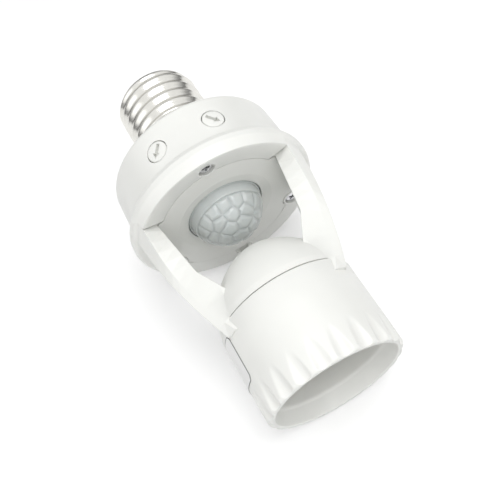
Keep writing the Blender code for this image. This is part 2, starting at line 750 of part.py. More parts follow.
def build_yoke(plastic):
    yoke = bezel_ring(plastic)
    cut(yoke, rear_relief())
    for side in (1, -1):
        cut(yoke, arm_body(side), "UNION")
    for name in SCREW_AZIMUTHS:
        cut(yoke, cylinder(f"pad_{name}", SCREW_PAD_RADIUS, Z_PLATE - SCREW_PAD_PROUD,
                           Z_PAD_TOP + WALL, screw_place(name)), "UNION")
    for side in (1, -1):
        cut(yoke, arm_cavity(side))
    dome = turned("dome_outside", dome_profile(0.0, Z_SEAM) + [(0.0, Z_SEAM)], closed=False)
    cut(yoke, dome, "UNION")
    hollow = dome_profile(WALL, Z_SEAM - WALL, count=8) + [(0.0, Z_SEAM - WALL)]
    cut(yoke, turned("dome_inside", hollow, closed=False))
    for side in (1, -1):
        through = smooth_route(out_route(side))[DOME_CROSSING]
        hole = tube_mesh(f"wire_hole_{side_name(side)}", through, WIRE_RADIUS + 2 * GAP)
        cut(yoke, add_object(f"wire_hole_{side_name(side)}", hole))
        place = (side * BOSS_SPACING / 2, 0.0)
        boss = cylinder(f"boss_{side}", BOSS_RADIUS, Z_BOSS, Z_SEAM + DOME_HEIGHT, place, steps=HOLE_STEPS)
        limit = dome_profile(WALL / 2, Z_SEAM) + [(0.0, Z_SEAM)]
        cut(boss, turned(f"boss_limit_{side}", limit, closed=False), "INTERSECT")
        cut(yoke, boss, "UNION")
        cut(yoke, cylinder(f"boss_hole_{side}", 1.2 * MM, Z_BOSS - WALL, Z_BOSS + 4.0 * MM, place, steps=HOLE_STEPS))
    head_space = SCREW_HEAD_RADIUS + GAP
    recess_top = Z_SCREW_HEAD + SCREW_HEAD_HEIGHT + GAP
    for name in SCREW_AZIMUTHS:
        place = screw_place(name)
        cut(yoke, cylinder(f"recess_{name}", head_space, Z_PLATE - 4 * BROW_DROP, recess_top, place))
        cut(yoke, cylinder(f"hole_{name}", SCREW_SHANK_RADIUS + GAP, Z_PLATE, Z_PAD_TOP + WALL, place))
        cut(yoke, cylinder(f"post_space_{name}", SCREW_PAD_RADIUS + GAP, Z_PAD_TOP, Z_SHOULDER, place))
    rib_length = BEZEL_RADIUS - BEZEL_EDGE - PLATE_RADIUS - 2 * MM
    rib_size = (NOTCH_RIB_WIDTH, rib_length, NOTCH_RIB_HEIGHT + LEDGE_THICKNESS / 3)
    rib_y = PLATE_RADIUS + 2 * GAP + rib_length / 2
    rib_z = Z_PLATE - NOTCH_RIB_HEIGHT + rib_size[2] / 2
    for side in (1, -1):
        centre = (side * (NOTCH_WIDTH + NOTCH_RIB_WIDTH) / 2, rib_y, rib_z)
        cut(yoke, box(f"notch_rib_{side_name(side)}", rib_size, centre), "UNION")
    cut(yoke, box("rear_notch", (NOTCH_WIDTH, 6.0 * MM, 2 * LEDGE_THICKNESS),
                  (0.0, PLATE_RADIUS + 2.0 * MM, Z_PLATE)))
    return yoke


# Sensor plate and lens

def plate_outline(front, rear, side_gap):
    """Round outline with a shallower front and a flat that follows each arm."""
    inside = Vector(arm_section(Z_PLATE)[4])
    back = Vector(arm_section(Z_PLATE)[3])
    slope = (back.x - inside.x) / (back.y - inside.y)
    points = []
    for index in range(STEPS * 2):
        azimuth = -180.0 + 360.0 * index / (STEPS * 2)
        radius = front if abs(azimuth) < ARM_FRONT_AZIMUTH + 4.0 else rear
        x, y = polar(radius, azimuth)
        limit = inside.x - side_gap + slope * (y - inside.y)
        points.append((max(-limit, min(limit, x)), y))
    return points


def build_plate(plastic):
    lip = plate_outline(PLATE_FRONT_RADIUS, PLATE_RADIUS, GAP)
    plate = prism("sensor_plate", lip, Z_PLATE, Z_PLATE + PLATE_LIP, plastic)
    flange_radius = BEZEL_BORE - GAP
    flange = plate_outline(flange_radius, flange_radius, 2 * GAP)
    flange_bottom = Z_PLATE + PLATE_LIP
    cut(plate, prism("plate_flange", flange, flange_bottom - 0.1 * MM, Z_PLATE_TOP), "UNION")
    hole = LENS_RADIUS + GAP
    lens_hole = turned("lens_hole", [
        (0.0, Z_PLATE_TOP + WALL),
        (hole, Z_PLATE_TOP + WALL),
        (hole, Z_PLATE + DISH_DEPTH),
        (DISH_RADIUS, Z_PLATE),
        (DISH_RADIUS, Z_PLATE - WALL),
        (0.0, Z_PLATE - WALL),
    ], closed=False, steps=RING_STEPS)
    cut(plate, lens_hole)
    for name in SCREW_AZIMUTHS:
        cut(plate, cylinder(f"pad_space_{name}", SCREW_PAD_RADIUS + GAP, Z_PLATE - WALL,
                            Z_PLATE_TOP + WALL, screw_place(name)))
    return plate


def facet_swell(direction):
    """Radius of the faceted lens in a direction, as a share of its full radius."""
    best = 0.0
    for ring in range(LENS_RINGS):
        count = max(6 * ring, 1)
        angle = math.radians(ring * LENS_RING_TILT)
        for index in range(count):
            turn = 2 * math.pi * (index + 0.5 * (ring - 1)) / count
            centre = Vector((math.sin(angle) * math.cos(turn), math.sin(angle) * math.sin(turn),
                             -math.cos(angle)))
            along = max(-1.0, min(1.0, direction.dot(centre)))
            reach = 1.0 - LENS_FACET_CURVE
            inside = LENS_FACET_CURVE ** 2 - reach ** 2 * (1.0 - along ** 2)
            if inside > 0.0:
                best = max(best, reach * along + math.sqrt(inside))
    return best


def build_lens(film):
    """Dome lens whose outer face is made of small round facets."""
    sphere = (LENS_DOME_RADIUS ** 2 + LENS_DOME_HEIGHT ** 2) / (2 * LENS_DOME_HEIGHT)
    centre = Z_LENS - LENS_DOME_HEIGHT + sphere
    spread = math.degrees(math.asin(LENS_DOME_RADIUS / sphere))
    inner = sphere - LENS_WALL
    top = Z_LENS_FLANGE + LENS_FLANGE
    outside = arc((0.0, centre), sphere, spread - 90.0, -90.0, 11)
    inside = arc((0.0, centre), inner, -90.0, spread - 90.0 - 4.0, 6)
    profile = [
        (LENS_RADIUS + LENS_FLANGE, top),
        (LENS_RADIUS + LENS_FLANGE, Z_LENS_FLANGE),
        (LENS_RADIUS, Z_LENS_FLANGE),
        (LENS_RADIUS, Z_LENS),
    ]
    profile += outside[:-1] + [(0.0, centre - sphere)]
    rim = inside[-1]
    back = [(0.0, centre - inner)] + inside[1:] + [(rim[0], top)]
    mesh = lens_mesh(profile, back, centre, sphere)
    return add_object("fresnel_lens", mesh, film)


def lens_mesh(profile, back, centre, sphere, steps=STEPS):
    """Turn both faces of the lens and swell the outer face into its facets."""
    bm = bmesh.new()
    rows = []
    for radius, height in profile + back:
        if radius == 0.0:
            rows.append([bm.verts.new((0.0, 0.0, height))])
            continue
        ring = []
        for index in range(steps):
            angle = 2 * math.pi * index / steps
            ring.append(bm.verts.new((radius * math.cos(angle), radius * math.sin(angle), height)))
        rows.append(ring)
    rows.append(rows[0])
    for first, second in zip(rows, rows[1:]):
        for index in range(steps):
            following = (index + 1) % steps
            corners = [first[index % len(first)], first[following % len(first)],
                       second[following % len(second)], second[index % len(second)]]
            unique = list(dict.fromkeys(corners))
            if len(unique) > 2:
                bm.faces.new(unique)
    middle = Vector((0.0, 0.0, centre))
    limit = math.cos(math.radians(LENS_FACET_LIMIT))
    for vert in bm.verts:
        arm = vert.co - middle
        on_face = abs(arm.length - sphere) < 0.01 * MM
        direction = arm.normalized()
        if on_face and -direction.z > limit:
            vert.co = middle + direction * sphere * facet_swell(direction)
    return mesh_from(bm, "fresnel_lens")


def build_bezel_screws(steel):
    profile = screw_profile(SCREW_HEAD_RADIUS, SCREW_HEAD_HEIGHT, SCREW_SHANK_RADIUS, SCREW_LENGTH)
    for name in SCREW_AZIMUTHS:
        x, y = screw_place(name)
        screw = turned(f"bezel_screw_{name}", profile, steel, closed=False, steps=HOLE_STEPS)
        screw.location = (x, y, Z_SCREW_HEAD)


# Upper housing and screw cap

def build_housing(plastic):
    top_radius = HOUSING_RADIUS - HOUSING_TAPER
    bottom = Z_HOUSING
    spigot_top = Z_CAP + CAP_SPIGOT_HEIGHT
    corner = arc((top_radius - HOUSING_CORNER, Z_SHOULDER - HOUSING_CORNER), HOUSING_CORNER, 90.0, 0.0, 5)
    inner_top = Z_SHOULDER - WALL
    profile = [
        (CAP_SPIGOT_RADIUS, spigot_top),
        (CAP_SPIGOT_RADIUS, Z_CAP - GAP),
        (NECK_RADIUS, Z_CAP - GAP),
        (NECK_RADIUS, Z_NECK),
        (NECK_RADIUS + 2 * HOUSING_CORNER, Z_NECK - HOUSING_CORNER / 2),
    ]
    profile += corner
    profile += [
        (HOUSING_RADIUS, bottom + HOUSING_FLARE),
        (BEZEL_SEAM_RADIUS - 0.5 * MM, bottom + 0.7 * MM),
        (BEZEL_SEAM_RADIUS, bottom),
        (HOUSING_INNER, bottom),
        (HOUSING_INNER - HOUSING_TAPER, inner_top - HOUSING_CORNER),
        (HOUSING_INNER - HOUSING_CORNER, inner_top),
        (NECK_RADIUS, Z_NECK - WALL),
        (CAP_SPIGOT_BORE, Z_NECK),
        (CAP_SPIGOT_BORE, spigot_top),
    ]
    housing = turned("upper_housing", profile, plastic, steps=RING_STEPS)
    for name in SCREW_AZIMUTHS:
        place = screw_place(name)
        post_top = Z_SHOULDER - HOUSING_CORNER / 2
        cut(housing, cylinder(f"post_{name}", POST_RADIUS, Z_PAD_TOP + GAP, post_top, place), "UNION")
        cut(housing, cylinder(f"post_hole_{name}", SCREW_SHANK_RADIUS + GAP, Z_PAD_TOP - WALL,
                              Z_SCREW_HEAD + SCREW_LENGTH + GAP, place, steps=HOLE_STEPS))
    for name, azimuth in dial_azimuths().items():
        bore = cylinder(f"dial_bore_{name}", DIAL_RADIUS + GAP, -4.0 * WALL, 4.0 * WALL)
        bore.matrix_world = dial_matrix(azimuth)
        cut(housing, bore)
    return housing


def build_cap(metal, insulation, tin):
    wave = thread_wave(Z_CAP_THREAD, CAP_TURNS)
    neck = THREAD_RADIUS - THREAD_DEPTH
    outer = [(INSULATOR_RADIUS + GAP, Z_CAP_END), (neck - 1.2 * MM, Z_CAP_END), (neck, Z_CAP_END - 0.9 * MM)]
    outer += wave[::-1]
    flange_top = Z_CAP + CAP_FLANGE_HEIGHT
    band_top = Z_CAP_THREAD - 0.6 * MM
    outer += [(CAP_BAND_RADIUS, band_top), (CAP_BAND_RADIUS, flange_top + SHELL_WALL),
              (CAP_FLANGE_RADIUS, flange_top), (CAP_FLANGE_RADIUS, Z_CAP)]
    inner = [(CAP_FLANGE_RADIUS - SHELL_WALL, Z_CAP), (CAP_BAND_RADIUS - SHELL_WALL, flange_top),
             (CAP_BAND_RADIUS - SHELL_WALL, band_top - SHELL_WALL), (neck - SHELL_WALL, Z_CAP_THREAD - SHELL_WALL)]
    inner += [(radius - SHELL_WALL, height) for radius, height in wave]
    inner += [(neck - SHELL_WALL, Z_CAP_END - 1.2 * MM), (neck - 1.5 * MM, Z_CAP_END - SHELL_WALL),
              (INSULATOR_RADIUS + GAP, Z_CAP_END - SHELL_WALL)]
    turned("screw_cap_shell", outer + inner, metal, steps=THREAD_STEPS)
    rim = CONTACT_RADIUS + 0.9 * MM
    inset = 1.6 * MM
    lead = 1.2 * MM
    turned("cap_insulator", [
        (rim, Z_CAP_END + INSULATOR_HEIGHT),
        (INSULATOR_RADIUS, Z_CAP_END - SHELL_WALL),
        (INSULATOR_RADIUS, Z_CAP_END - SHELL_WALL - GAP),
        (INSULATOR_RADIUS + 1.0 * MM, Z_CAP_END - SHELL_WALL - GAP),
        (INSULATOR_RADIUS + 1.0 * MM, Z_CAP_END - SHELL_WALL - inset),
        (lead, Z_CAP_END - SHELL_WALL - inset),
        (lead, Z_CAP_END + INSULATOR_HEIGHT),
    ], insulation, steps=THREAD_STEPS)
    turned("cap_centre_contact", [
        (0.0, Z_CAP_END + INSULATOR_HEIGHT + GAP + CONTACT_HEIGHT),
        (CONTACT_RADIUS * 0.45, Z_CAP_END + INSULATOR_HEIGHT + GAP + CONTACT_HEIGHT),
        (CONTACT_RADIUS, Z_CAP_END + INSULATOR_HEIGHT + GAP + CONTACT_HEIGHT * 0.5),
        (CONTACT_RADIUS, Z_CAP_END + INSULATOR_HEIGHT + GAP),
        (lead - GAP, Z_CAP_END + INSULATOR_HEIGHT + GAP),
        (lead - GAP, Z_CAP_END - SHELL_WALL - inset),
        (0.0, Z_CAP_END - SHELL_WALL - inset),
    ], tin, closed=False, steps=HOLE_STEPS)


# Dials and circuit

def dial_azimuths():
    return {"time": -DIAL_AZIMUTH, "lux": DIAL_AZIMUTH}


def dial_matrix(azimuth):
    """Frame of a dial: Z runs out of the wall, Y runs up."""
    radius = HOUSING_RADIUS - HOUSING_TAPER * 0.4
    x, y = polar(radius, azimuth)
    out_x, out_y = polar(1.0, azimuth)
    outward = Vector((out_x, out_y, 0.0))
    upward = Vector((0.0, 0.0, 1.0))
    across = upward.cross(outward)
    frame = Matrix((across, upward, outward)).transposed().to_4x4()
    return Matrix.Translation((x, y, Z_DIAL)) @ frame


def arrow_outline(angle):
    """Driver slot with a pointed end, turned by an angle from straight down."""
    half = ARROW_WIDTH / 2
    tail = ARROW_LENGTH / 2
    neck = -tail + ARROW_HEAD
    points = [(-half, tail), (-half, neck), (-ARROW_HEAD / 2, neck), (0.0, -tail),
              (ARROW_HEAD / 2, neck), (half, neck), (half, tail)]
    turn = Matrix.Rotation(math.radians(angle), 2)
    return [tuple(turn @ Vector(point)) for point in points]


def build_dials(plastic, dark):
    profile = [
        (0.0, 0.0),
        (DIAL_RADIUS - GAP, 0.0),
        (DIAL_RADIUS, -GAP),
        (DIAL_RADIUS, -DIAL_THICKNESS),
        (DIAL_SHAFT_RADIUS, -DIAL_THICKNESS),
        (DIAL_SHAFT_RADIUS, -DIAL_THICKNESS - DIAL_SHAFT_LENGTH),
        (0.0, -DIAL_THICKNESS - DIAL_SHAFT_LENGTH),
    ]
    for name, azimuth in dial_azimuths().items():
        angle = math.copysign(ARROW_ANGLE, azimuth)
        dial = turned(f"{name}_dial", profile, plastic, closed=False, steps=32)
        arrow = prism(f"{name}_arrow", arrow_outline(angle), -ARROW_DEPTH, ARROW_DEPTH)
        cut(dial, arrow)
        dial.matrix_world = dial_matrix(azimuth)
        arrow.matrix_world = dial_matrix(azimuth)
        build_potentiometer(name, azimuth, dark)


def build_potentiometer(name, azimuth, plastic):
    """Rotary control behind a dial, with a bush round the dial's shaft."""
    front = -DIAL_THICKNESS - GAP - 0.6 * MM
    foot = Z_BOARD_TOP + GAP - Z_DIAL
    size = (POT_WIDTH, POT_HEIGHT, POT_DEPTH)
    centre = Vector((0.0, foot + POT_HEIGHT / 2, front - POT_DEPTH / 2))
    pot = box(f"{name}_potentiometer", size, (0.0, 0.0, 0.0), plastic)
    pot.matrix_world = dial_matrix(azimuth) @ Matrix.Translation(centre)
    socket = cylinder(f"{name}_shaft_hole", DIAL_SHAFT_RADIUS + GAP, -DIAL_THICKNESS - DIAL_SHAFT_LENGTH - GAP, 0.0,
                      steps=20)
    socket.matrix_world = dial_matrix(azimuth)
    cut(pot, socket)


def build_board(laminate):
    board = cylinder("circuit_board", BOARD_RADIUS, Z_BOARD, Z_BOARD_TOP, material=laminate, steps=RING_STEPS)
    for name in SCREW_AZIMUTHS:
        cut(board, cylinder(f"board_notch_{name}", POST_RADIUS + GAP, Z_BOARD - WALL, Z_BOARD_TOP + WALL,
                            screw_place(name)))
    return board


def build_components(paint):
    under = Z_BOARD - GAP
    over = Z_BOARD_TOP + GAP
    turned("pir_sensor", [
        (0.0, under),
        (SENSOR_CAN_RADIUS, under),
        (SENSOR_CAN_RADIUS, under - 0.5 * MM),
        (SENSOR_CAN_RADIUS - 0.5 * MM, under - 0.5 * MM),
        (SENSOR_CAN_RADIUS - 0.5 * MM, under - SENSOR_CAN_HEIGHT),
        (0.0, under - SENSOR_CAN_HEIGHT),
    ], paint["tin"], closed=False, steps=HOLE_STEPS)
    cylinder("light_sensor", LIGHT_SENSOR_RADIUS, under - LIGHT_SENSOR_HEIGHT, under,
             (0.0, LIGHT_SENSOR_OFFSET), paint["dark_plastic"], steps=HOLE_STEPS)
    width, depth, height = RELAY_SIZE
    box("relay", RELAY_SIZE, (0.0, RELAY_Y, over + height / 2), paint["relay_plastic"], bevel=0.4 * MM)
    width, depth, height = FILM_CAPACITOR_SIZE
    box("film_capacitor", FILM_CAPACITOR_SIZE, (0.0, FILM_CAPACITOR_Y, over + height / 2),
        paint["capacitor_film"], bevel=0.5 * MM)
    cylinder("electrolytic_capacitor", CAN_CAPACITOR_RADIUS, over, over + CAN_CAPACITOR_HEIGHT,
             CAN_CAPACITOR_PLACE, paint["capacitor_sleeve"], steps=24)


def tube_mesh(name, points, radius):
    """Closed tube along a row of points."""
    curve = bpy.data.curves.new(name, "CURVE")
    curve.dimensions = "3D"
    curve.bevel_depth = radius
    curve.bevel_resolution = 1
    curve.use_fill_caps = True
    spline = curve.splines.new("POLY")
    spline.points.add(len(points) - 1)
    for target, point in zip(spline.points, points):
        target.co = (*point, 1.0)
    guide = bpy.data.objects.new(name + "_guide", curve)
    CUTTERS.objects.link(guide)
    evaluated = guide.evaluated_get(bpy.context.evaluated_depsgraph_get())
    mesh = bpy.data.meshes.new_from_object(evaluated)
    bpy.data.objects.remove(guide)
    bm = bmesh.new()
    bm.from_mesh(mesh)
    bmesh.ops.remove_doubles(bm, verts=bm.verts, dist=0.000001)
    bpy.data.meshes.remove(mesh)
    return mesh_from(bm, name)


def build_wire(name, route, material):
    """Insulated wire that passes smoothly through its own route points."""
    return add_object(name, tube_mesh(name, smooth_route(route), WIRE_RADIUS), material)


def smooth_route(points, count=3):
    """Points along a smooth curve that passes through each route point."""
    points = [Vector(point) for point in points]
    padded = [points[0]] + points + [points[-1]]
    smooth = []
    for index in range(1, len(padded) - 2):
        before, start, end, after = padded[index - 1:index + 3]
        for step in range(count):
            t = step / count
            smooth.append(0.5 * (2 * start + (end - before) * t
                                 + (2 * before - 5 * start + 4 * end - after) * t ** 2
                                 + (3 * start - before - 3 * end + after) * t ** 3))
    smooth.append(points[-1])
    return smooth


def build_wires(paint):
    behind = RELAY_Y + RELAY_SIZE[1] / 2 + 5.5 * MM
    above = Z_BOARD_TOP + GAP
    lead_end = Z_CAP_END - SHELL_WALL - 1.6 * MM - GAP
    neck = CAP_SPIGOT_BORE * 0.6
    build_wire("wire_live_in", [
        (0.0, 0.0, lead_end),
        (0.0, 1.0 * MM, Z_CAP_THREAD),
        (-neck * 0.5, neck * 0.8, Z_NECK),
        (-neck, behind - 1.0 * MM, Z_SHOULDER - 4.0 * MM),
        (-neck, behind, above + 4.0 * MM),
        (-neck, behind, above),
    ], paint["red_wire"])
    ledge = Z_CAP + CAP_SPIGOT_HEIGHT + GAP + WIRE_RADIUS
    build_wire("wire_neutral_in", [
        (CAP_BORE - WIRE_RADIUS - GAP, 0.0, ledge + 0.8 * MM),
        (CAP_SPIGOT_BORE - 2 * WIRE_RADIUS, 1.0 * MM, ledge),
        (neck, neck * 0.6, Z_CAP),
        (neck, neck, Z_NECK),
        (neck, behind - 1.0 * MM, Z_SHOULDER - 4.0 * MM),
        (neck, behind, above + 4.0 * MM),
        (neck, behind, above),
    ], paint["black_wire"])
    build_wire("wire_live_out", out_route(-1), paint["red_wire"])
    build_wire("wire_neutral_out", out_route(1), paint["black_wire"])


def out_route(side):
    """Route from the circuit board down an arm, through the dome's wall and to a rivet."""
    end_y = -SHELL_RIVET_RADIUS if side > 0 else TONGUE_LENGTH / 2
    above_base = Z_BOSS + 2 * WIRE_RADIUS
    low = Z_SEAM + DOME_HEIGHT * 0.56
    route = [arm_centre(Z_PLATE + (low - Z_PLATE) * step / 3) for step in range(4)]
    inward = (BEZEL_BORE - 2 * WIRE_RADIUS - GAP) / math.hypot(route[0][0], route[0][1])
    route.insert(0, (route[0][0] * inward, route[0][1] * inward, Z_BOARD - GAP))
    route += [
        (BASE_RADIUS - GAP, -TONGUE_LENGTH / 4, above_base),
        (BOSS_SPACING / 2 + 2 * WIRE_RADIUS, end_y * 0.8, above_base),
        (BOSS_SPACING / 2 - BOSS_RADIUS - 3 * WIRE_RADIUS, end_y, above_base),
    ]
    return [(side * x, y, z) for x, y, z in route]


def arm_centre(height):
    """Middle of an arm's wire channel at a height."""
    outline = offset_polygon(arm_section(height), (ARM_WALL, ARM_WALL, ARM_WALL, COVER_THICKNESS, ARM_WALL))
    x = sum(corner[0] for corner in outline) / len(outline)
    y = sum(corner[1] for corner in outline) / len(outline)
    return x, y, height


def make_materials():
    return {
        "white_plastic": make_material("white_plastic", (0.86, 0.86, 0.84), 0.35),
        "lens_film": make_material("lens_film", (0.80, 0.84, 0.86), 0.3, transmission=0.4),
        "nickel": make_material("nickel", (0.76, 0.74, 0.70), 0.25, 1.0),
        "steel": make_material("steel", (0.62, 0.62, 0.62), 0.3, 1.0),
        "brass": make_material("brass", (0.78, 0.62, 0.30), 0.3, 1.0),
        "tin": make_material("tin", (0.70, 0.70, 0.72), 0.35, 1.0),
        "insulation": make_material("insulation", (0.05, 0.05, 0.06), 0.4),
        "contact_plastic": make_material("contact_plastic", (0.75, 0.74, 0.70), 0.5),
        "laminate": make_material("laminate", (0.10, 0.35, 0.18), 0.5),
        "dark_plastic": make_material("dark_plastic", (0.08, 0.08, 0.09), 0.5),
        "relay_plastic": make_material("relay_plastic", (0.10, 0.22, 0.50), 0.4),
        "capacitor_film": make_material("capacitor_film", (0.75, 0.60, 0.12), 0.4),
        "capacitor_sleeve": make_material("capacitor_sleeve", (0.05, 0.06, 0.12), 0.35),
        "red_wire": make_material("red_wire", (0.60, 0.05, 0.04), 0.5),
        "black_wire": make_material("black_wire", (0.04, 0.04, 0.04), 0.5),
    }


def main():
    clear_scene()
    make_collections()
    paint = make_materials()
    build_skirt(paint["white_plastic"])
    build_yoke(paint["white_plastic"])
    for side in (1, -1):
        build_arm_cover(side, paint["white_plastic"])
    build_socket_shell(paint["nickel"])
    build_contact_base(paint["contact_plastic"])
    build_contacts(paint["brass"])
    build_base_screws(paint["steel"])
    build_plate(paint["white_plastic"])
    build_lens(paint["lens_film"])
    build_bezel_screws(paint["steel"])
    build_housing(paint["white_plastic"])
    build_cap(paint["nickel"], paint["insulation"], paint["tin"])
    build_dials(paint["white_plastic"], paint["dark_plastic"])
    build_board(paint["laminate"])
    build_components(paint)
    build_wires(paint)
    bpy.context.view_layer.update()
    for obj in list(PARTS.objects):
        bake(obj)


main()
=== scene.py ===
"""Looks of the sensor lamp socket: finer shapes, materials, light and camera.

Lengths are in metres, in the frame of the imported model: Z up from the socket's mouth to the cap,
-Y to the front. Named angles are in degrees, but for the lens's inner trim, and azimuths are
counted from the front towards +X.
"""

import json
import math

import bmesh
import bpy
from mathutils import Matrix, Vector


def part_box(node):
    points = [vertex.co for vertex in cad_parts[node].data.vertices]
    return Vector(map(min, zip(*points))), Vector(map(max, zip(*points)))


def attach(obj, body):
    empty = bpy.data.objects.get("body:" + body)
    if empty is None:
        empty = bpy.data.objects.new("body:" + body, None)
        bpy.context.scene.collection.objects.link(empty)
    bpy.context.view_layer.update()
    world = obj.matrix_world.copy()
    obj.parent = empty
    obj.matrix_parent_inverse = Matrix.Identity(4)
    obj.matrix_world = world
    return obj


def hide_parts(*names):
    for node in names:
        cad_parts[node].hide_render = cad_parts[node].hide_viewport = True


MM = 0.001

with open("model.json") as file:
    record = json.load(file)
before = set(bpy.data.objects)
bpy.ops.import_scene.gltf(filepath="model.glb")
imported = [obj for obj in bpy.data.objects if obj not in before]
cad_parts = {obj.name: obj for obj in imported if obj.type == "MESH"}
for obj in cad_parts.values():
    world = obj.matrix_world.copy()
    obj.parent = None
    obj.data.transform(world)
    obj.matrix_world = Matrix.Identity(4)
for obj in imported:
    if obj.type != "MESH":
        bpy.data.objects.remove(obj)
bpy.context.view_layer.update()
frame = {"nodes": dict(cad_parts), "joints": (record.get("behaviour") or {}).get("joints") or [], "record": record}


# Materials

# Scales of the noise textures, in waves per metre
FLOW_WAVES = 70.0
SINK_WAVES = 160.0
GLOSS_WAVES = 260.0
GRAIN_WAVES = 4200.0
STAIN_WAVES = 240.0
PLATING_WAVES = 500.0
DRAWN_WAVES = 900.0
DRAWN_STRETCH = (1.0, 1.0, 12.0)

GRAIN_DEPTH = 0.004 * MM
SINK_DEPTH = 3 * GRAIN_DEPTH
PLATING_DEPTH = 0.0015 * MM
EDGE_RADIUS = 0.28 * MM
EDGE_SAMPLES = 6
PLASTIC_IOR = 1.5
SCATTER_COLOURS = (1.0, 0.95, 0.9)
SCATTER_DEPTH = 0.6 * MM


def empty_material(name):
    """Material with nothing but an output; returns it with its tree and the output."""
    material = bpy.data.materials.new(name)
    material.use_nodes = True
    tree = material.node_tree
    tree.nodes.clear()
    return material, tree, tree.nodes.new("ShaderNodeOutputMaterial")


def shaded_material(name):
    """Material with a principled shader; returns it with its tree and the shader."""
    material, tree, output = empty_material(name)
    shader = tree.nodes.new("ShaderNodeBsdfPrincipled")
    tree.links.new(shader.outputs["BSDF"], output.inputs["Surface"])
    return material, tree, shader


def noise(tree, scale, detail=2.0, roughness=0.5, stretch=(1.0, 1.0, 1.0)):
    """Noise texture in object space; scale counts its waves in a metre."""
    place = tree.nodes.new("ShaderNodeTexCoord")
    mapping = tree.nodes.new("ShaderNodeMapping")
    mapping.inputs["Scale"].default_value = stretch
    texture = tree.nodes.new("ShaderNodeTexNoise")
    texture.inputs["Scale"].default_value = scale
    texture.inputs["Detail"].default_value = detail
    texture.inputs["Roughness"].default_value = roughness
    tree.links.new(place.outputs["Object"], mapping.inputs["Vector"])
    tree.links.new(mapping.outputs["Vector"], texture.inputs["Vector"])
    return texture.outputs["Fac"]


def ranged(tree, value, low, high, from_low=0.3, from_high=0.7):
    """A value mapped onto low to high, by default from the middle part of a noise texture."""
    node = tree.nodes.new("ShaderNodeMapRange")
    node.inputs["From Min"].default_value = from_low
    node.inputs["From Max"].default_value = from_high
    node.inputs["To Min"].default_value = low
    node.inputs["To Max"].default_value = high
    tree.links.new(value, node.inputs["Value"])
    return node.outputs["Result"]


def combined(tree, operation, first, second):
    """Two values worked into one; each is a number or another node's output."""
    node = tree.nodes.new("ShaderNodeMath")
    node.operation = operation
    for entry, value in zip(node.inputs, (first, second)):
        if isinstance(value, float):
            entry.default_value = value
        else:
            tree.links.new(value, entry)
    return node.outputs["Value"]


def tinted(tree, value, first, second):
    """Colour that runs from first to second with a value from 0 to 1."""
    node = tree.nodes.new("ShaderNodeMix")
    node.data_type = "RGBA"
    node.inputs["A"].default_value = (*first, 1.0)
    node.inputs["B"].default_value = (*second, 1.0)
    tree.links.new(value, node.inputs["Factor"])
    return node.outputs["Result"]


def bumped(tree, shader, value, distance, below=None):
    """Relief from a value, perhaps on top of another relief's normal."""
    node = tree.nodes.new("ShaderNodeBump")
    node.inputs["Strength"].default_value = 1.0
    node.inputs["Distance"].default_value = distance
    tree.links.new(value, node.inputs["Height"])
    if below is not None:
        tree.links.new(below, node.inputs["Normal"])
    tree.links.new(node.outputs["Normal"], shader.inputs["Normal"])
    return node.outputs["Normal"]


def plastic(name, light, dark, rough_low, rough_high, scatter=0.0, depth=SCATTER_DEPTH, edge=EDGE_RADIUS):
    """Moulded plastic: faint flow marks in colour, sink waves, a fine grain, uneven gloss."""
    material, tree, shader = shaded_material(name)
    shader.inputs["IOR"].default_value = PLASTIC_IOR
    if scatter:
        shader.inputs["Subsurface Weight"].default_value = scatter
        shader.inputs["Subsurface Radius"].default_value = SCATTER_COLOURS
        shader.inputs["Subsurface Scale"].default_value = depth
    flow = noise(tree, FLOW_WAVES, detail=3.0)
    tone = tinted(tree, ranged(tree, flow, 0.0, 1.0), light, dark)
    tree.links.new(tone, shader.inputs["Base Color"])
    gloss = ranged(tree, noise(tree, GLOSS_WAVES, detail=4.0), rough_low, rough_high)
    tree.links.new(gloss, shader.inputs["Roughness"])
    edges = tree.nodes.new("ShaderNodeBevel")
    edges.samples = EDGE_SAMPLES
    edges.inputs["Radius"].default_value = edge
    sinks = bumped(tree, shader, noise(tree, SINK_WAVES, detail=1.0), SINK_DEPTH,
                   below=edges.outputs["Normal"])
    bumped(tree, shader, noise(tree, GRAIN_WAVES), GRAIN_DEPTH, below=sinks)
    return material


def metal(name, light, dark, rough_low, rough_high, grain=GRAIN_DEPTH):
    """Sheet metal: drawn marks round the axis, stains and uneven gloss."""
    material, tree, shader = shaded_material(name)
    shader.inputs["Metallic"].default_value = 1.0
    stain = noise(tree, STAIN_WAVES, detail=5.0, roughness=0.65)
    tone = tinted(tree, ranged(tree, stain, 0.0, 1.0), light, dark)
    tree.links.new(tone, shader.inputs["Base Color"])
    plating = noise(tree, PLATING_WAVES, detail=4.0, roughness=0.7)
    tree.links.new(ranged(tree, plating, rough_low, rough_high), shader.inputs["Roughness"])
    marks = noise(tree, DRAWN_WAVES, detail=3.0, roughness=0.6, stretch=DRAWN_STRETCH)
    bumped(tree, shader, marks, grain)
    return material


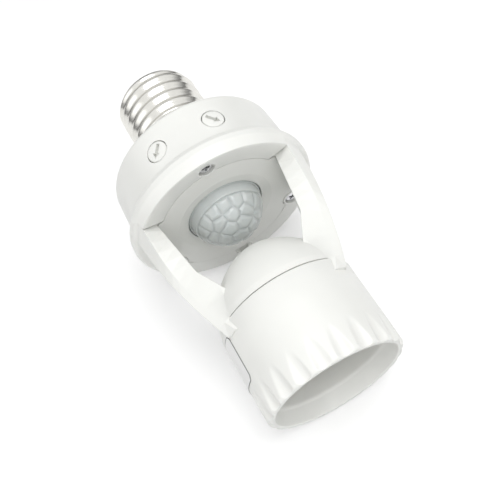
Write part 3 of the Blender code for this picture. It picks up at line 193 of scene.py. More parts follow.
# Each material: its name, lighter and darker colour, lowest and highest roughness
MATERIALS = {
    "white_plastic": plastic("abs_white", (0.83, 0.835, 0.805), (0.80, 0.805, 0.775), 0.30, 0.42,
                             scatter=0.08),
    "nickel": metal("nickel_plate", (0.80, 0.79, 0.75), (0.72, 0.71, 0.67), 0.15, 0.24,
                    grain=PLATING_DEPTH),
    "steel": metal("zinc_steel", (0.82, 0.82, 0.84), (0.62, 0.62, 0.64), 0.14, 0.28),
    "brass": metal("brass_sheet", (0.80, 0.62, 0.32), (0.66, 0.50, 0.24), 0.22, 0.42),
    "tin": metal("tinned", (0.76, 0.76, 0.77), (0.60, 0.60, 0.61), 0.28, 0.48),
    "insulation": plastic("black_insulator", (0.030, 0.030, 0.034), (0.018, 0.018, 0.020), 0.12, 0.26),
    "contact_plastic": plastic("cream_thermoset", (0.70, 0.68, 0.62), (0.62, 0.60, 0.54), 0.40, 0.60),
    "laminate": plastic("green_laminate", (0.05, 0.22, 0.10), (0.04, 0.17, 0.08), 0.30, 0.46),
    "dark_plastic": plastic("dark_moulding", (0.035, 0.035, 0.040), (0.022, 0.022, 0.026), 0.35, 0.55),
    "relay_plastic": plastic("relay_case", (0.04, 0.13, 0.38), (0.03, 0.10, 0.31), 0.28, 0.44),
    "capacitor_film": plastic("dipped_film", (0.62, 0.42, 0.05), (0.54, 0.35, 0.04), 0.18, 0.34),
    "capacitor_sleeve": plastic("shrunk_sleeve", (0.03, 0.04, 0.09), (0.02, 0.03, 0.07), 0.22, 0.38),
    "red_wire": plastic("red_insulation", (0.50, 0.03, 0.025), (0.42, 0.025, 0.02), 0.35, 0.50),
    "black_wire": plastic("black_insulation", (0.025, 0.025, 0.026), (0.018, 0.018, 0.019), 0.35, 0.50),
    "label_paper": plastic("label_paper", (0.84, 0.84, 0.83), (0.80, 0.80, 0.79), 0.36, 0.46),
    "lens_film": plastic("milky_lens", (0.60, 0.63, 0.62), (0.56, 0.595, 0.585), 0.14, 0.22,
                         scatter=0.85, depth=2.5 * MM, edge=0.05 * MM),
    "label_line": plastic("label_line", (0.10, 0.10, 0.10), (0.07, 0.07, 0.07), 0.30, 0.45),
}


def dress_nodes():
    """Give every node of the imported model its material."""
    slots = {part["node"]: part["material_slot"] for part in frame["record"]["subparts"]}
    for name, node in frame["nodes"].items():
        node.data.materials.clear()
        node.data.materials.append(MATERIALS[slots[name]])


# Shapes

def piece(name, mesh, material, body="main", stands_for=()):
    """Add a mesh as a piece that rides on a body, perhaps in place of some nodes."""
    obj = bpy.data.objects.new(name, mesh)
    bpy.context.scene.collection.objects.link(obj)
    mesh.materials.clear()
    mesh.materials.append(MATERIALS[material])
    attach(obj, body)
    if stands_for:
        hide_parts(*stands_for)


def smooth(mesh, angle=30.0):
    """The mesh, shaded smoothly but for edges sharper than an angle."""
    mesh.shade_smooth()
    mesh.set_sharp_from_angle(angle=math.radians(angle))
    return mesh


def mesh_from(bm, name):
    """Finished mesh of an edit mesh, with its faces turned outwards."""
    bmesh.ops.recalc_face_normals(bm, faces=bm.faces)
    mesh = bpy.data.meshes.new(name)
    bm.to_mesh(mesh)
    bm.free()
    return mesh


def bridge(bm, rows, closed=True):
    """Faces between rows of corners that follow each other, each a ring or a single point."""
    pairs = list(zip(rows, rows[1:]))
    if closed:
        pairs.append((rows[-1], rows[0]))
    for first, second in pairs:
        for index in range(max(len(first), len(second))):
            corners = [first[index % len(first)], first[(index + 1) % len(first)],
                       second[(index + 1) % len(second)], second[index % len(second)]]
            unique = list(dict.fromkeys(corners))
            if len(unique) > 2:
                bm.faces.new(unique)


def skin(name, profile, steps, bend=None, closed=True, centre=(0.0, 0.0)):
    """Surface round Z through rows of (radius, z); bend(row, radius, z, angle) may alter a radius."""
    bm = bmesh.new()
    rows = []
    for row, (base, height) in enumerate(profile):
        if base == 0.0:
            rows.append([bm.verts.new((centre[0], centre[1], height))])
            continue
        ring = []
        for index in range(steps):
            angle = 2 * math.pi * index / steps
            reach = base if bend is None else bend(row, base, height, angle)
            ring.append(bm.verts.new((centre[0] + reach * math.cos(angle),
                                      centre[1] + reach * math.sin(angle), height)))
        rows.append(ring)
    bridge(bm, rows, closed)
    return mesh_from(bm, name)


def carved(mesh, cutters):
    """The mesh less each cutter mesh."""
    body = bpy.data.objects.new("body", mesh)
    bpy.context.scene.collection.objects.link(body)
    tools = []
    for cutter in cutters:
        tool = bpy.data.objects.new("tool", cutter)
        bpy.context.scene.collection.objects.link(tool)
        tools.append(tool)
        boolean = body.modifiers.new("cut", "BOOLEAN")
        boolean.object = tool
        boolean.solver = "EXACT"
    bpy.context.view_layer.update()
    result = bpy.data.meshes.new_from_object(
        body.evaluated_get(bpy.context.evaluated_depsgraph_get()))
    for obj in tools + [body]:
        bpy.data.objects.remove(obj)
    return result


def smoothstep(value):
    """Soft step from 0 to 1 while a value goes from 0 to 1."""
    value = max(0.0, min(1.0, value))
    return value * value * (3.0 - 2.0 * value)


# Screw threads

THREAD_PITCH = 3.63 * MM
THREAD_RADIUS = 13.2 * MM
THREAD_DEPTH = 0.85 * MM
THREAD_ROOT = THREAD_RADIUS - THREAD_DEPTH
THREAD_FADE = 0.35
# Below 1, crests are fuller than roots
THREAD_FULLNESS = 0.85
SHELL_CREASE = 50.0
SHELL_SHEET = 0.4 * MM

CAP_BEAD_RADIUS = 14.0 * MM
CAP_COLLAR_RADIUS = 13.05 * MM
CAP_COLLAR_HEIGHT = 3.0 * MM
CAP_THREAD_FOOT = 4.0 * MM
CAP_THREAD_HEAD = 0.9 * MM
CAP_MOUTH_RADIUS = 9.3 * MM
CAP_ROWS = 108
CAP_STEPS = 216

DROP_RADIUS = 3.3 * MM
DROP_HEIGHT = 0.45 * MM
DROP_SINK = 0.1 * MM
DROP_ROWS = 8
DROP_STEPS = 40

SOCKET_CLEARANCE = 0.25 * MM
SOCKET_LIP = 0.9 * MM
SOCKET_THREAD_FOOT = 0.6 * MM
SOCKET_RING_RADIUS = 11.5 * MM
SOCKET_ROWS = 60
SOCKET_STEPS = 96


def thread_row(height, angle, bottom, top):
    """Radius of a right-handed thread that fades in and out near its ends."""
    phase = (height - bottom) / THREAD_PITCH - angle / (2 * math.pi)
    swing = 0.5 - 0.5 * math.cos(2 * math.pi * phase)
    length = THREAD_PITCH * THREAD_FADE
    fade = smoothstep((height - bottom) / length) * smoothstep((top - height) / length)
    return THREAD_ROOT + THREAD_DEPTH * swing ** THREAD_FULLNESS * fade


def thread_bend(rows, last, bottom, top, outer, inner):
    """Bend for skin: a thread on some rows of a shell's outside and on the rows behind them.

    outer and inner are what the two sides add to the thread's radius; last is the last row.
    """
    def bend(row, base, height, angle):
        if row in rows:
            return thread_row(height, angle, bottom, top) + outer
        if last - row in rows:
            return thread_row(height, angle, bottom, top) + inner
        return base
    return bend


def even_rows(radius, first, last, count):
    """Rows of one radius in even steps of height."""
    return [(radius, first + (last - first) * index / count) for index in range(count + 1)]


def build_cap():
    """Nickel shell of the screw cap, with a true helix."""
    low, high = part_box("screw_cap_shell")
    bottom, top = low.z + CAP_THREAD_FOOT, high.z - CAP_THREAD_HEAD
    bead = CAP_BEAD_RADIUS
    outer = [(bead - 0.4 * MM, low.z), (bead, low.z + 0.15 * MM), (bead, low.z + 0.5 * MM),
             (bead - 0.3 * MM, low.z + 0.85 * MM), (CAP_COLLAR_RADIUS + 0.1 * MM, low.z + 1.1 * MM),
             (CAP_COLLAR_RADIUS, low.z + CAP_COLLAR_HEIGHT),
             (THREAD_ROOT + 0.25 * MM, low.z + CAP_COLLAR_HEIGHT + 0.6 * MM)]
    start = len(outer)
    outer += even_rows(THREAD_ROOT, bottom, top, CAP_ROWS)
    thread = range(start, len(outer))
    outer += [(THREAD_ROOT - 0.15 * MM, top + 0.35 * MM), (THREAD_ROOT - 0.6 * MM, top + 0.75 * MM),
              (THREAD_ROOT - 1.3 * MM, high.z), (CAP_MOUTH_RADIUS, high.z)]
    inner = [(radius - SHELL_SHEET, height - (SHELL_SHEET if height > top else 0.0))
             for radius, height in outer]
    profile = outer + inner[::-1]
    bend = thread_bend(thread, len(profile) - 1, bottom, top, 0.0, -SHELL_SHEET)
    mesh = smooth(skin("cap_thread", profile, CAP_STEPS, bend), SHELL_CREASE)
    piece("cap_thread", mesh, "nickel", stands_for=("screw_cap_shell",))


def build_solder_drop():
    """Low drop of solder on the cap's centre contact."""
    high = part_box("cap_centre_contact")[1]
    profile = [(0.0, high.z + DROP_HEIGHT)]
    for index in range(1, DROP_ROWS + 1):
        turn = math.radians(90.0 * index / DROP_ROWS)
        profile.append((DROP_RADIUS * math.sin(turn),
                        high.z - DROP_SINK + (DROP_HEIGHT + DROP_SINK) * math.cos(turn)))
    piece("solder_drop", smooth(skin("solder_drop", profile, DROP_STEPS, closed=False)), "tin")


def build_socket_thread():
    """Thread shell inside the bulb socket, with a true helix."""
    low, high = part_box("socket_thread_shell")
    bottom, top = low.z + SOCKET_THREAD_FOOT, high.z - SHELL_SHEET
    root = THREAD_ROOT + SOCKET_CLEARANCE
    inner = [(root + SOCKET_LIP, low.z)] + even_rows(root, bottom, top, SOCKET_ROWS)
    outer = [(radius + SHELL_SHEET, height) for radius, height in inner]
    ring = [(SOCKET_RING_RADIUS, high.z), (SOCKET_RING_RADIUS, top)]
    profile = outer + ring + inner[::-1]
    bend = thread_bend(range(1, len(outer)), len(profile) - 1, bottom, top,
                       SOCKET_CLEARANCE + SHELL_SHEET, SOCKET_CLEARANCE)
    mesh = smooth(skin("socket_thread", profile, SOCKET_STEPS, bend), SHELL_CREASE)
    piece("socket_thread", mesh, "nickel", stands_for=("socket_thread_shell",))


# Fluted skirt and its label

FLUTE_COUNT = 22
FLUTE_RADIUS = 2.6 * MM
FLUTE_DEPTH = 1.15 * MM
FLUTE_LENGTH = 8.2 * MM
# Angle from +X to the middle of a rib
FLUTE_TURN = -3.6
# Softness of a flute's edge, and the small depth that is taken off a flute to make up for it
FLUTE_BLEND = 0.10 * MM
FLUTE_LIFT = 0.01 * MM
FLUTE_STEPS = 20
FLUTE_ROWS = 26
FLUTE_ROWS_TOP = 9.6 * MM

SKIRT_RADIUS = 19.5 * MM
SKIRT_TOP = 24.8 * MM
SKIRT_PLAIN = 17.0 * MM
SKIRT_SPIGOT = 16.8 * MM
SKIRT_SPIGOT_BORE = 15.3 * MM
SKIRT_CREASE = 40.0
RIM_INSET = 0.85 * MM
RIM_HEIGHT = 1.6 * MM
RIM_ROWS = 8
MOUTH_RADIUS = 17.4 * MM
BORE_RADIUS = 16.8 * MM

LABEL_EDGES = (9.7 * MM, 22.7 * MM)
LABEL_SIDES = (-60.0, -159.0)
LABEL_COLUMNS = 40
LABEL_ROWS = 13
BORDER_WIDTH = 0.22 * MM
BORDER_RADIUS = 19.54 * MM
BORDER_CORNER = 1.0 * MM
PAPER_RADIUS = 19.58 * MM
PAPER_CORNER = 0.85 * MM


def flute_depth(height, angle):
    """How far the flutes cut into the skirt at a place on it."""
    deepest = FLUTE_DEPTH * (1.0 - height / FLUTE_LENGTH)
    pitch = 2 * math.pi / FLUTE_COUNT
    across = ((angle - math.radians(FLUTE_TURN)) % pitch - pitch / 2) * SKIRT_RADIUS
    square = FLUTE_RADIUS ** 2 - across ** 2
    if square <= 0.0:
        return 0.0
    depth = math.sqrt(square) - (FLUTE_RADIUS - deepest)
    return 0.5 * (depth + math.sqrt(depth * depth + FLUTE_BLEND * FLUTE_BLEND)) - FLUTE_LIFT


def build_skirt():
    """Bulb socket's skirt, with flutes that run out upwards and a stepped mouth."""
    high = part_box("socket_skirt")[1]
    profile = [(SKIRT_SPIGOT, high.z), (SKIRT_SPIGOT, SKIRT_TOP), (SKIRT_RADIUS - 0.35 * MM, SKIRT_TOP),
               (SKIRT_RADIUS - 0.1 * MM, SKIRT_TOP - 0.1 * MM), (SKIRT_RADIUS, SKIRT_TOP - 0.35 * MM),
               (SKIRT_RADIUS, SKIRT_PLAIN)]
    start = len(profile)
    profile += even_rows(SKIRT_RADIUS, FLUTE_ROWS_TOP, RIM_HEIGHT, FLUTE_ROWS)
    for index in range(1, RIM_ROWS + 1):
        turn = math.pi / 2 * index / RIM_ROWS
        profile.append((SKIRT_RADIUS - RIM_INSET * (1.0 - math.cos(turn)),
                        RIM_HEIGHT * (1.0 - math.sin(turn))))
    fluted = range(start, len(profile))
    profile += [(MOUTH_RADIUS + 0.45 * MM, 0.0), (MOUTH_RADIUS + 0.25 * MM, 0.08 * MM),
                (MOUTH_RADIUS + 0.1 * MM, 0.35 * MM), (MOUTH_RADIUS, 4.2 * MM),
                (BORE_RADIUS + 0.3 * MM, 4.55 * MM), (BORE_RADIUS + 0.05 * MM, 5.0 * MM),
                (BORE_RADIUS, 5.6 * MM), (BORE_RADIUS - 0.3 * MM, SKIRT_TOP - 0.4 * MM),
                (SKIRT_SPIGOT_BORE, SKIRT_TOP), (SKIRT_SPIGOT_BORE, high.z)]

    def bend(row, base, height, angle):
        if row in fluted:
            return min(base, SKIRT_RADIUS - flute_depth(height, angle))
        return base

    mesh = smooth(skin("fluted_skirt", profile, FLUTE_COUNT * FLUTE_STEPS, bend), SKIRT_CREASE)
    piece("fluted_skirt", mesh, "white_plastic", stands_for=("socket_skirt",))


def label_patch(name, radius, edges, sides, corner):
    """Rounded patch on the skirt, between two heights and two azimuths."""
    bm = bmesh.new()
    grid = []
    for step in range(LABEL_ROWS):
        height = edges[0] + (edges[1] - edges[0]) * step / (LABEL_ROWS - 1)
        near = min(height - edges[0], edges[1] - height)
        inset = 0.0
        if near < corner:
            inset = corner - math.sqrt(max(corner ** 2 - (corner - near) ** 2, 0.0))
        trim = math.degrees(inset / radius)
        row = []
        for column in range(LABEL_COLUMNS + 1):
            share = column / LABEL_COLUMNS
            azimuth = math.radians(sides[0] - trim + (sides[1] - sides[0] + 2 * trim) * share)
            row.append(bm.verts.new((radius * math.sin(azimuth), -radius * math.cos(azimuth), height)))
        grid.append(row)
    for lower, upper in zip(grid, grid[1:]):
        for column in range(LABEL_COLUMNS):
            bm.faces.new((lower[column], upper[column], upper[column + 1], lower[column + 1]))
    return smooth(mesh_from(bm, name))


def build_label():
    """Blank paper label with a printed border, round the left side of the skirt."""
    bottom, top = LABEL_EDGES
    front, back = LABEL_SIDES
    border = label_patch("label_border", BORDER_RADIUS, LABEL_EDGES, LABEL_SIDES, BORDER_CORNER)
    piece("label_border", border, "label_line")
    turn = math.degrees(BORDER_WIDTH / PAPER_RADIUS)
    paper = label_patch("blank_label", PAPER_RADIUS, (bottom + BORDER_WIDTH, top - BORDER_WIDTH),
                        (front - turn, back + turn), PAPER_CORNER)
    piece("blank_label", paper, "label_paper")


# Lens

LENS_DOME_RADIUS = 11.2 * MM
LENS_DOME_HEIGHT = 10.1 * MM
LENS_RIM_DEPTH = 7.6 * MM
LENS_BODY_RADIUS = 11.55 * MM
LENS_FLANGE = 1.6 * MM
LENS_EDGE = 0.15 * MM
LENS_WALL = 0.9 * MM
# How much less than the outer dome the inner one spreads, in radians
LENS_INNER_TRIM = 0.08
LENS_ROWS = 110
LENS_INNER_ROWS = 12
LENS_STEPS = 320
LENS_CREASE = 60.0

FACET_SECTORS = 3
# Each ring of a sector: tilt from the dome's tip, count, step, and angle from +X to the ring's middle
FACET_RINGS = ((59.0, 5, 24.0, -91.0), (42.0, 3, 35.0, -86.0), (26.5, 2, 58.0, -85.0))
# Tilt of the facets' outer border, and how wide the grooves are inside and outside it
FACET_LIMIT = 70.0
FACET_PILLOW = 6.0
FACET_EDGE = 1.2
FACET_DEPTH = 0.44 * MM
FACET_ROUNDING = 2.2


def facet_centres():
    """Directions of the facets' middles: the same rings in each sector, and one at the tip."""
    centres = [Vector((0.0, 0.0, -1.0))]
    for sector in range(FACET_SECTORS):
        for tilt, count, step, middle in FACET_RINGS:
            for index in range(count):
                angle = math.radians(tilt)
                turn = math.radians(middle + step * (index - (count - 1) / 2)
                                    + 360.0 * sector / FACET_SECTORS)
                centres.append(Vector((math.sin(angle) * math.cos(turn),
                                       math.sin(angle) * math.sin(turn), -math.cos(angle))))
    return centres


def facet_groove(direction, centres):
    """Depth of the grooves between the pillowed facets, in a direction from the dome's centre."""
    tilt = math.degrees(math.acos(min(1.0, -direction.z)))
    if tilt > FACET_LIMIT:
        return FACET_DEPTH * max(0.0, 1.0 - (tilt - FACET_LIMIT) / FACET_EDGE) ** 2
    along = sorted((direction.dot(centre) for centre in centres), reverse=True)
    away = [math.degrees(math.acos(min(1.0, value))) for value in along[:2]]
    inside = min(FACET_LIMIT - tilt, (away[1] - away[0]) / 2)
    return FACET_DEPTH * max(0.0, 1.0 - inside / FACET_PILLOW) ** FACET_ROUNDING


def lens_profile(low, high, sphere, centre):
    """Rows of (radius, z) round the lens, and the range of the rows on its dome."""
    body = LENS_BODY_RADIUS
    edge = low.z + LENS_RIM_DEPTH
    profile = [(high.x, high.z), (high.x, high.z - LENS_FLANGE), (body, high.z - LENS_FLANGE),
               (body, edge + LENS_EDGE), (body - LENS_EDGE, edge)]
    start = len(profile)
    spread = math.asin(LENS_DOME_RADIUS / sphere)
    for index in range(LENS_ROWS):
        angle = spread * (1.0 - index / LENS_ROWS)
        profile.append((sphere * math.sin(angle), centre - sphere * math.cos(angle)))
    profile.append((0.0, centre - sphere))
    dome = range(start, len(profile))
    inner = sphere - LENS_WALL
    profile.append((0.0, centre - inner))
    for index in range(1, LENS_INNER_ROWS + 1):
        angle = (spread - LENS_INNER_TRIM) * index / LENS_INNER_ROWS
        profile.append((inner * math.sin(angle), centre - inner * math.cos(angle)))
    profile.append((profile[-1][0], high.z))
    return profile, dome


def build_lens():
    """Milky dome with pillowed facets and a thin wall."""
    low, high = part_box("fresnel_lens")
    sphere = (LENS_DOME_RADIUS ** 2 + LENS_DOME_HEIGHT ** 2) / (2 * LENS_DOME_HEIGHT)
    centre = low.z + LENS_RIM_DEPTH - LENS_DOME_HEIGHT + sphere
    profile, dome = lens_profile(low, high, sphere, centre)
    facets = facet_centres()
    bm = bmesh.new()
    rows = []
    for row, (base, height) in enumerate(profile):
        ring = []
        for index in range(LENS_STEPS if base else 1):
            angle = 2 * math.pi * index / LENS_STEPS
            point = Vector((base * math.cos(angle), base * math.sin(angle), height - centre))
            if row in dome:
                way = point.normalized()
                point = point - way * facet_groove(way, facets)
            ring.append(bm.verts.new(point + Vector((0.0, 0.0, centre))))
        rows.append(ring)
    bridge(bm, rows)
    mesh = smooth(mesh_from(bm, "faceted_lens"), LENS_CREASE)
    piece("faceted_lens", mesh, "lens_film", stands_for=("fresnel_lens",))


# Smoothly shaded mouldings

YOKE_CREASE = 18.0
WELD_DISTANCE = 0.001 * MM
FLAT_ANGLE = 0.4

HOUSING_RADIUS = 26.5 * MM
HOUSING_TOP_RADIUS = 26.1 * MM
HOUSING_CORNER = 1.8 * MM
HOUSING_CORNER_TURN = 78.0
HOUSING_CORNER_ROWS = 12
HOUSING_WALL = 1.8 * MM
HOUSING_SNUG = 0.18 * MM
HOUSING_STEPS = 264
HOUSING_CREASE = 32.0
SHOULDER_HEIGHT = 80.7 * MM
NECK_HEIGHT = 84.3 * MM
NECK_RADIUS = 14.6 * MM
SPIGOT_RADIUS = 11.4 * MM
SPIGOT_BORE = 9.6 * MM
SPIGOT_HEIGHT = 9.3 * MM

DIAL_AZIMUTH = 19.2
DIALS = (("time", -DIAL_AZIMUTH, "time_setting"), ("lux", DIAL_AZIMUTH, "lux_setting"))
DIAL_BORE = 3.22 * MM
DIAL_BORE_REACH = 6.0 * MM
DIAL_STEPS = 64


def build_yoke():
    """The bezel with its arms and dome, shaded smoothly up to a crease angle."""
    bm = bmesh.new()
    bm.from_mesh(frame["nodes"]["bezel_yoke"].data)
    bmesh.ops.remove_doubles(bm, verts=bm.verts, dist=WELD_DISTANCE)
    bmesh.ops.dissolve_limit(bm, angle_limit=math.radians(FLAT_ANGLE), use_dissolve_boundaries=False,
                             verts=bm.verts, edges=bm.edges)
    mesh = bpy.data.meshes.new("satin_yoke")
    bm.to_mesh(mesh)
    bm.free()
    piece("satin_yoke", smooth(mesh, YOKE_CREASE), "white_plastic", stands_for=("bezel_yoke",))


def housing_profile(low, high):
    """Rows of (radius, z) round the housing, from the cap's spigot down and back up inside."""
    radius, corner = HOUSING_RADIUS, HOUSING_CORNER
    bottom = low.z - HOUSING_SNUG
    inside = radius - HOUSING_WALL
    ledge = high.z - SPIGOT_HEIGHT
    profile = [(SPIGOT_RADIUS, high.z), (SPIGOT_RADIUS, ledge), (NECK_RADIUS - 0.3 * MM, ledge),
               (NECK_RADIUS, ledge - 0.3 * MM), (NECK_RADIUS, NECK_HEIGHT + 0.5 * MM),
               (NECK_RADIUS + 0.25 * MM, NECK_HEIGHT + 0.1 * MM),
               (NECK_RADIUS + 0.8 * MM, NECK_HEIGHT - 0.2 * MM),
               (NECK_RADIUS + 2 * corner, NECK_HEIGHT - corner / 2)]
    for index in range(HOUSING_CORNER_ROWS + 1):
        turn = math.radians(HOUSING_CORNER_TURN - HOUSING_CORNER_TURN * index / HOUSING_CORNER_ROWS)
        profile.append((HOUSING_TOP_RADIUS - corner * (1.0 - math.cos(turn)),
                        SHOULDER_HEIGHT - corner * (1.0 - math.sin(turn))))
    profile += [(radius, low.z + 2.2 * MM), (radius + 0.2 * MM, low.z + 1.6 * MM),
                (radius + 0.75 * MM, low.z + 0.75 * MM), (radius + 1.2 * MM, low.z + 0.2 * MM),
                (radius + 1.3 * MM, bottom), (inside, bottom),
                (inside - 0.4 * MM, SHOULDER_HEIGHT - HOUSING_WALL - corner),
                (inside - corner, SHOULDER_HEIGHT - HOUSING_WALL),
                (NECK_RADIUS, NECK_HEIGHT - HOUSING_WALL), (SPIGOT_BORE, NECK_HEIGHT),
                (SPIGOT_BORE, high.z)]
    return profile


def build_housing():
    """Round housing with the dials' bores, close down on the bezel."""
    low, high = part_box("upper_housing")
    mesh = skin("satin_housing", housing_profile(low, high), HOUSING_STEPS)
    reach = DIAL_BORE_REACH
    bores = []
    for name, azimuth, body in DIALS:
        profile = [(0.0, -reach), (DIAL_BORE, -reach), (DIAL_BORE, reach), (0.0, reach)]
        bore = skin(f"{name}_bore", profile, DIAL_STEPS, closed=False)
        bore.transform(dial_place(azimuth, body))
        bores.append(bore)
    piece("satin_housing", smooth(carved(mesh, bores), HOUSING_CREASE), "white_plastic",
          stands_for=("upper_housing",))


# Sensor plate

PLATE_SNUG = 0.2 * MM
PLATE_CORE = 16.0 * MM
PAD_REACH = 4.4 * MM
# The straight sides, beyond a share of the plate's half width and within a reach of the axis
PLATE_SIDE_SHARE = 0.8
PLATE_SIDE_REACH = 21.6 * MM
# Screws of the bezel, with the turn of each cross
SCREW_TURNS = {"front": 12.0, "right": 40.0, "left": -25.0}


def build_plate():
    """Sensor plate whose outer edge sits close to the bezel, the arms and the screws' pads."""
    mesh = frame["nodes"]["sensor_plate"].data.copy()
    screws = []
    for name in SCREW_TURNS:
        low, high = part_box(f"bezel_screw_{name}")
        screws.append(Vector(((low.x + high.x) / 2, (low.y + high.y) / 2)))
    flat = max(vert.co.x for vert in mesh.vertices if vert.co.y < 0.0)
    for vert in mesh.vertices:
        place = vert.co.xy
        if place.length < PLATE_CORE:
            continue
        screw = min(screws, key=lambda spot: (spot - place).length)
        if (screw - place).length < PAD_REACH:
            way = (screw - place).normalized()
        elif abs(place.x) > PLATE_SIDE_SHARE * flat and place.length < PLATE_SIDE_REACH:
            way = Vector((math.copysign(1.0, place.x), 0.0))
        else:
            way = place.normalized()
        vert.co.x += way.x * PLATE_SNUG
        vert.co.y += way.y * PLATE_SNUG
    piece("snug_plate", mesh, "white_plastic", stands_for=("sensor_plate",))


# Screws

SCREW_SHANK = 1.1 * MM
SCREW_TIP = 0.3 * MM
SCREW_POINT = 2.2 * MM
SCREW_HEAD_HEIGHT = 1.2 * MM
# The head's rounding: shares of its radius, and heights over its lowest face
HEAD_ROUNDING = ((1.0, 0.65 * MM), (0.96, 0.35 * MM), (0.84, 0.12 * MM), (0.62, 0.0))
SCREW_STEPS = 48
SCREW_CREASE = 35.0
CROSS_DEPTH = 1.0 * MM
# The cross's span as a share of a head's radius, and its other sizes as shares of that span
CROSS_SPAN = 1.4
CROSS_FLOOR_SPAN = 0.55
CROSS_FLOOR_WIDTH = 0.16
CROSS_WIDTH = 0.24


def cross_cutters(place, depth, span, turn):
    """Two tapered bars that cut a cross recess upwards at a place."""
    cutters = []
    for quarter in (0.0, 90.0):
        bm = bmesh.new()
        bmesh.ops.create_cube(bm, size=1.0)
        for vert in bm.verts:
            floor = vert.co.z > 0.0
            vert.co.x *= span * (CROSS_FLOOR_SPAN if floor else 1.0)
            vert.co.y *= span * (CROSS_FLOOR_WIDTH if floor else CROSS_WIDTH)
            vert.co.z = depth if floor else -depth
        angle = Matrix.Rotation(math.radians(turn + quarter), 4, "Z")
        bmesh.ops.transform(bm, matrix=Matrix.Translation(place) @ angle, verts=bm.verts)
        cutters.append(mesh_from(bm, "cross"))
    return cutters


def build_screws():
    """Pan-head screws with a cross recess in each head."""
    for name, turn in SCREW_TURNS.items():
        node = f"bezel_screw_{name}"
        low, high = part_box(node)
        x, y = (low.x + high.x) / 2, (low.y + high.y) / 2
        head = (high.x - low.x) / 2
        under = low.z + SCREW_HEAD_HEIGHT
        profile = [(0.0, high.z), (SCREW_TIP, high.z), (SCREW_SHANK, high.z - SCREW_POINT),
                   (SCREW_SHANK, under), (head, under)]
        profile += [(head * share, low.z + rise) for share, rise in HEAD_ROUNDING]
        profile.append((0.0, low.z))
        mesh = skin(node, profile, SCREW_STEPS, closed=False, centre=(x, y))
        cross = cross_cutters(Vector((x, y, low.z)), CROSS_DEPTH, head * CROSS_SPAN, turn)
        piece(f"cross_screw_{name}", smooth(carved(mesh, cross), SCREW_CREASE), "steel",
              stands_for=(node,))


# Dials

DIAL_RADIUS = 3.0 * MM
DIAL_THICKNESS = 2.2 * MM
DIAL_SHAFT_RADIUS = 1.2 * MM
DIAL_SHAFT_END = 4.6 * MM
DIAL_CREASE = 35.0
ARROW_ANGLE = 42.0
ARROW_DEPTH = 1.2 * MM
ARROW_HALF_WIDTH = 0.5 * MM
ARROW_HALF_LENGTH = 2.1 * MM
ARROW_NECK = -0.55 * MM
ARROW_HEAD = 1.05 * MM


def arrow_cutter(angle, depth):
    """Slot with an arrow's head, turned by an angle from straight down."""
    half, tail, neck, wide = ARROW_HALF_WIDTH, ARROW_HALF_LENGTH, ARROW_NECK, ARROW_HEAD
    points = [(-half, tail), (-half, neck), (-wide, neck), (0.0, -tail), (wide, neck),
              (half, neck), (half, tail)]
    bm = bmesh.new()
    turn = Matrix.Rotation(math.radians(angle), 4, "Z")
    base = bm.faces.new([bm.verts.new(turn @ Vector((x, y, -depth))) for x, y in points])
    raised = bmesh.ops.extrude_face_region(bm, geom=[base])
    moved = [item for item in raised["geom"] if isinstance(item, bmesh.types.BMVert)]
    bmesh.ops.translate(bm, verts=moved, vec=(0.0, 0.0, 4 * depth))
    return mesh_from(bm, "arrow")


def dial_place(azimuth, body):
    """Placing of a dial: its face outwards, its own Y upwards."""
    joint = next(item for item in frame["joints"] if item["child"] == body)
    turn = math.radians(azimuth)
    outward = Vector((math.sin(turn), -math.cos(turn), 0.0))
    upward = Vector((0.0, 0.0, 1.0))
    across = upward.cross(outward)
    place = Matrix((across, upward, outward)).transposed().to_4x4()
    return Matrix.Translation(Vector(joint["pos_m"])) @ place


def build_dials():
    """Flush dials with a slotted arrow, each on its own body."""
    profile = [(0.0, 0.0), (DIAL_RADIUS - 0.45 * MM, 0.0), (DIAL_RADIUS - 0.15 * MM, -0.08 * MM),
               (DIAL_RADIUS, -0.35 * MM), (DIAL_RADIUS, -DIAL_THICKNESS),
               (DIAL_SHAFT_RADIUS, -DIAL_THICKNESS), (DIAL_SHAFT_RADIUS, -DIAL_SHAFT_END),
               (0.0, -DIAL_SHAFT_END)]
    for name, azimuth, body in DIALS:
        mesh = skin(f"{name}_dial", profile, DIAL_STEPS, closed=False)
        mesh = carved(mesh, [arrow_cutter(math.copysign(ARROW_ANGLE, azimuth), ARROW_DEPTH)])
        mesh.transform(dial_place(azimuth, body))
        piece(f"{name}_arrow_dial", smooth(mesh, DIAL_CREASE), "white_plastic", body=body,
              stands_for=(f"{name}_dial",))


# Camera

CAMERA_AZIMUTH = -3.59
CAMERA_ELEVATION = -28.63
CAMERA_ROLL = -32.49
CAMERA_DISTANCE = 188.7 * MM
CAMERA_AIM = Vector((0.0, 0.0, 60.0 * MM))
CAMERA_SHIFT = Vector((-6.7 * MM, 11.0 * MM))
# Focal length and sensor width, in millimetres as Blender takes them
CAMERA_LENS = 47.04
CAMERA_SENSOR = 36.0
CAMERA_NEAR = 0.01


def camera_axes():
    """Right, up and backward directions of the camera."""
    azimuth = math.radians(CAMERA_AZIMUTH)
    elevation = math.radians(CAMERA_ELEVATION)
    roll = math.radians(CAMERA_ROLL)
    back = Vector((math.sin(azimuth) * math.cos(elevation),
                   -math.cos(azimuth) * math.cos(elevation),
                   math.sin(elevation)))
    level = Vector((math.cos(azimuth), math.sin(azimuth), 0.0))
    rise = back.cross(level)
    right = level * math.cos(roll) + rise * math.sin(roll)
    up = rise * math.cos(roll) - level * math.sin(roll)
    return right, up, back


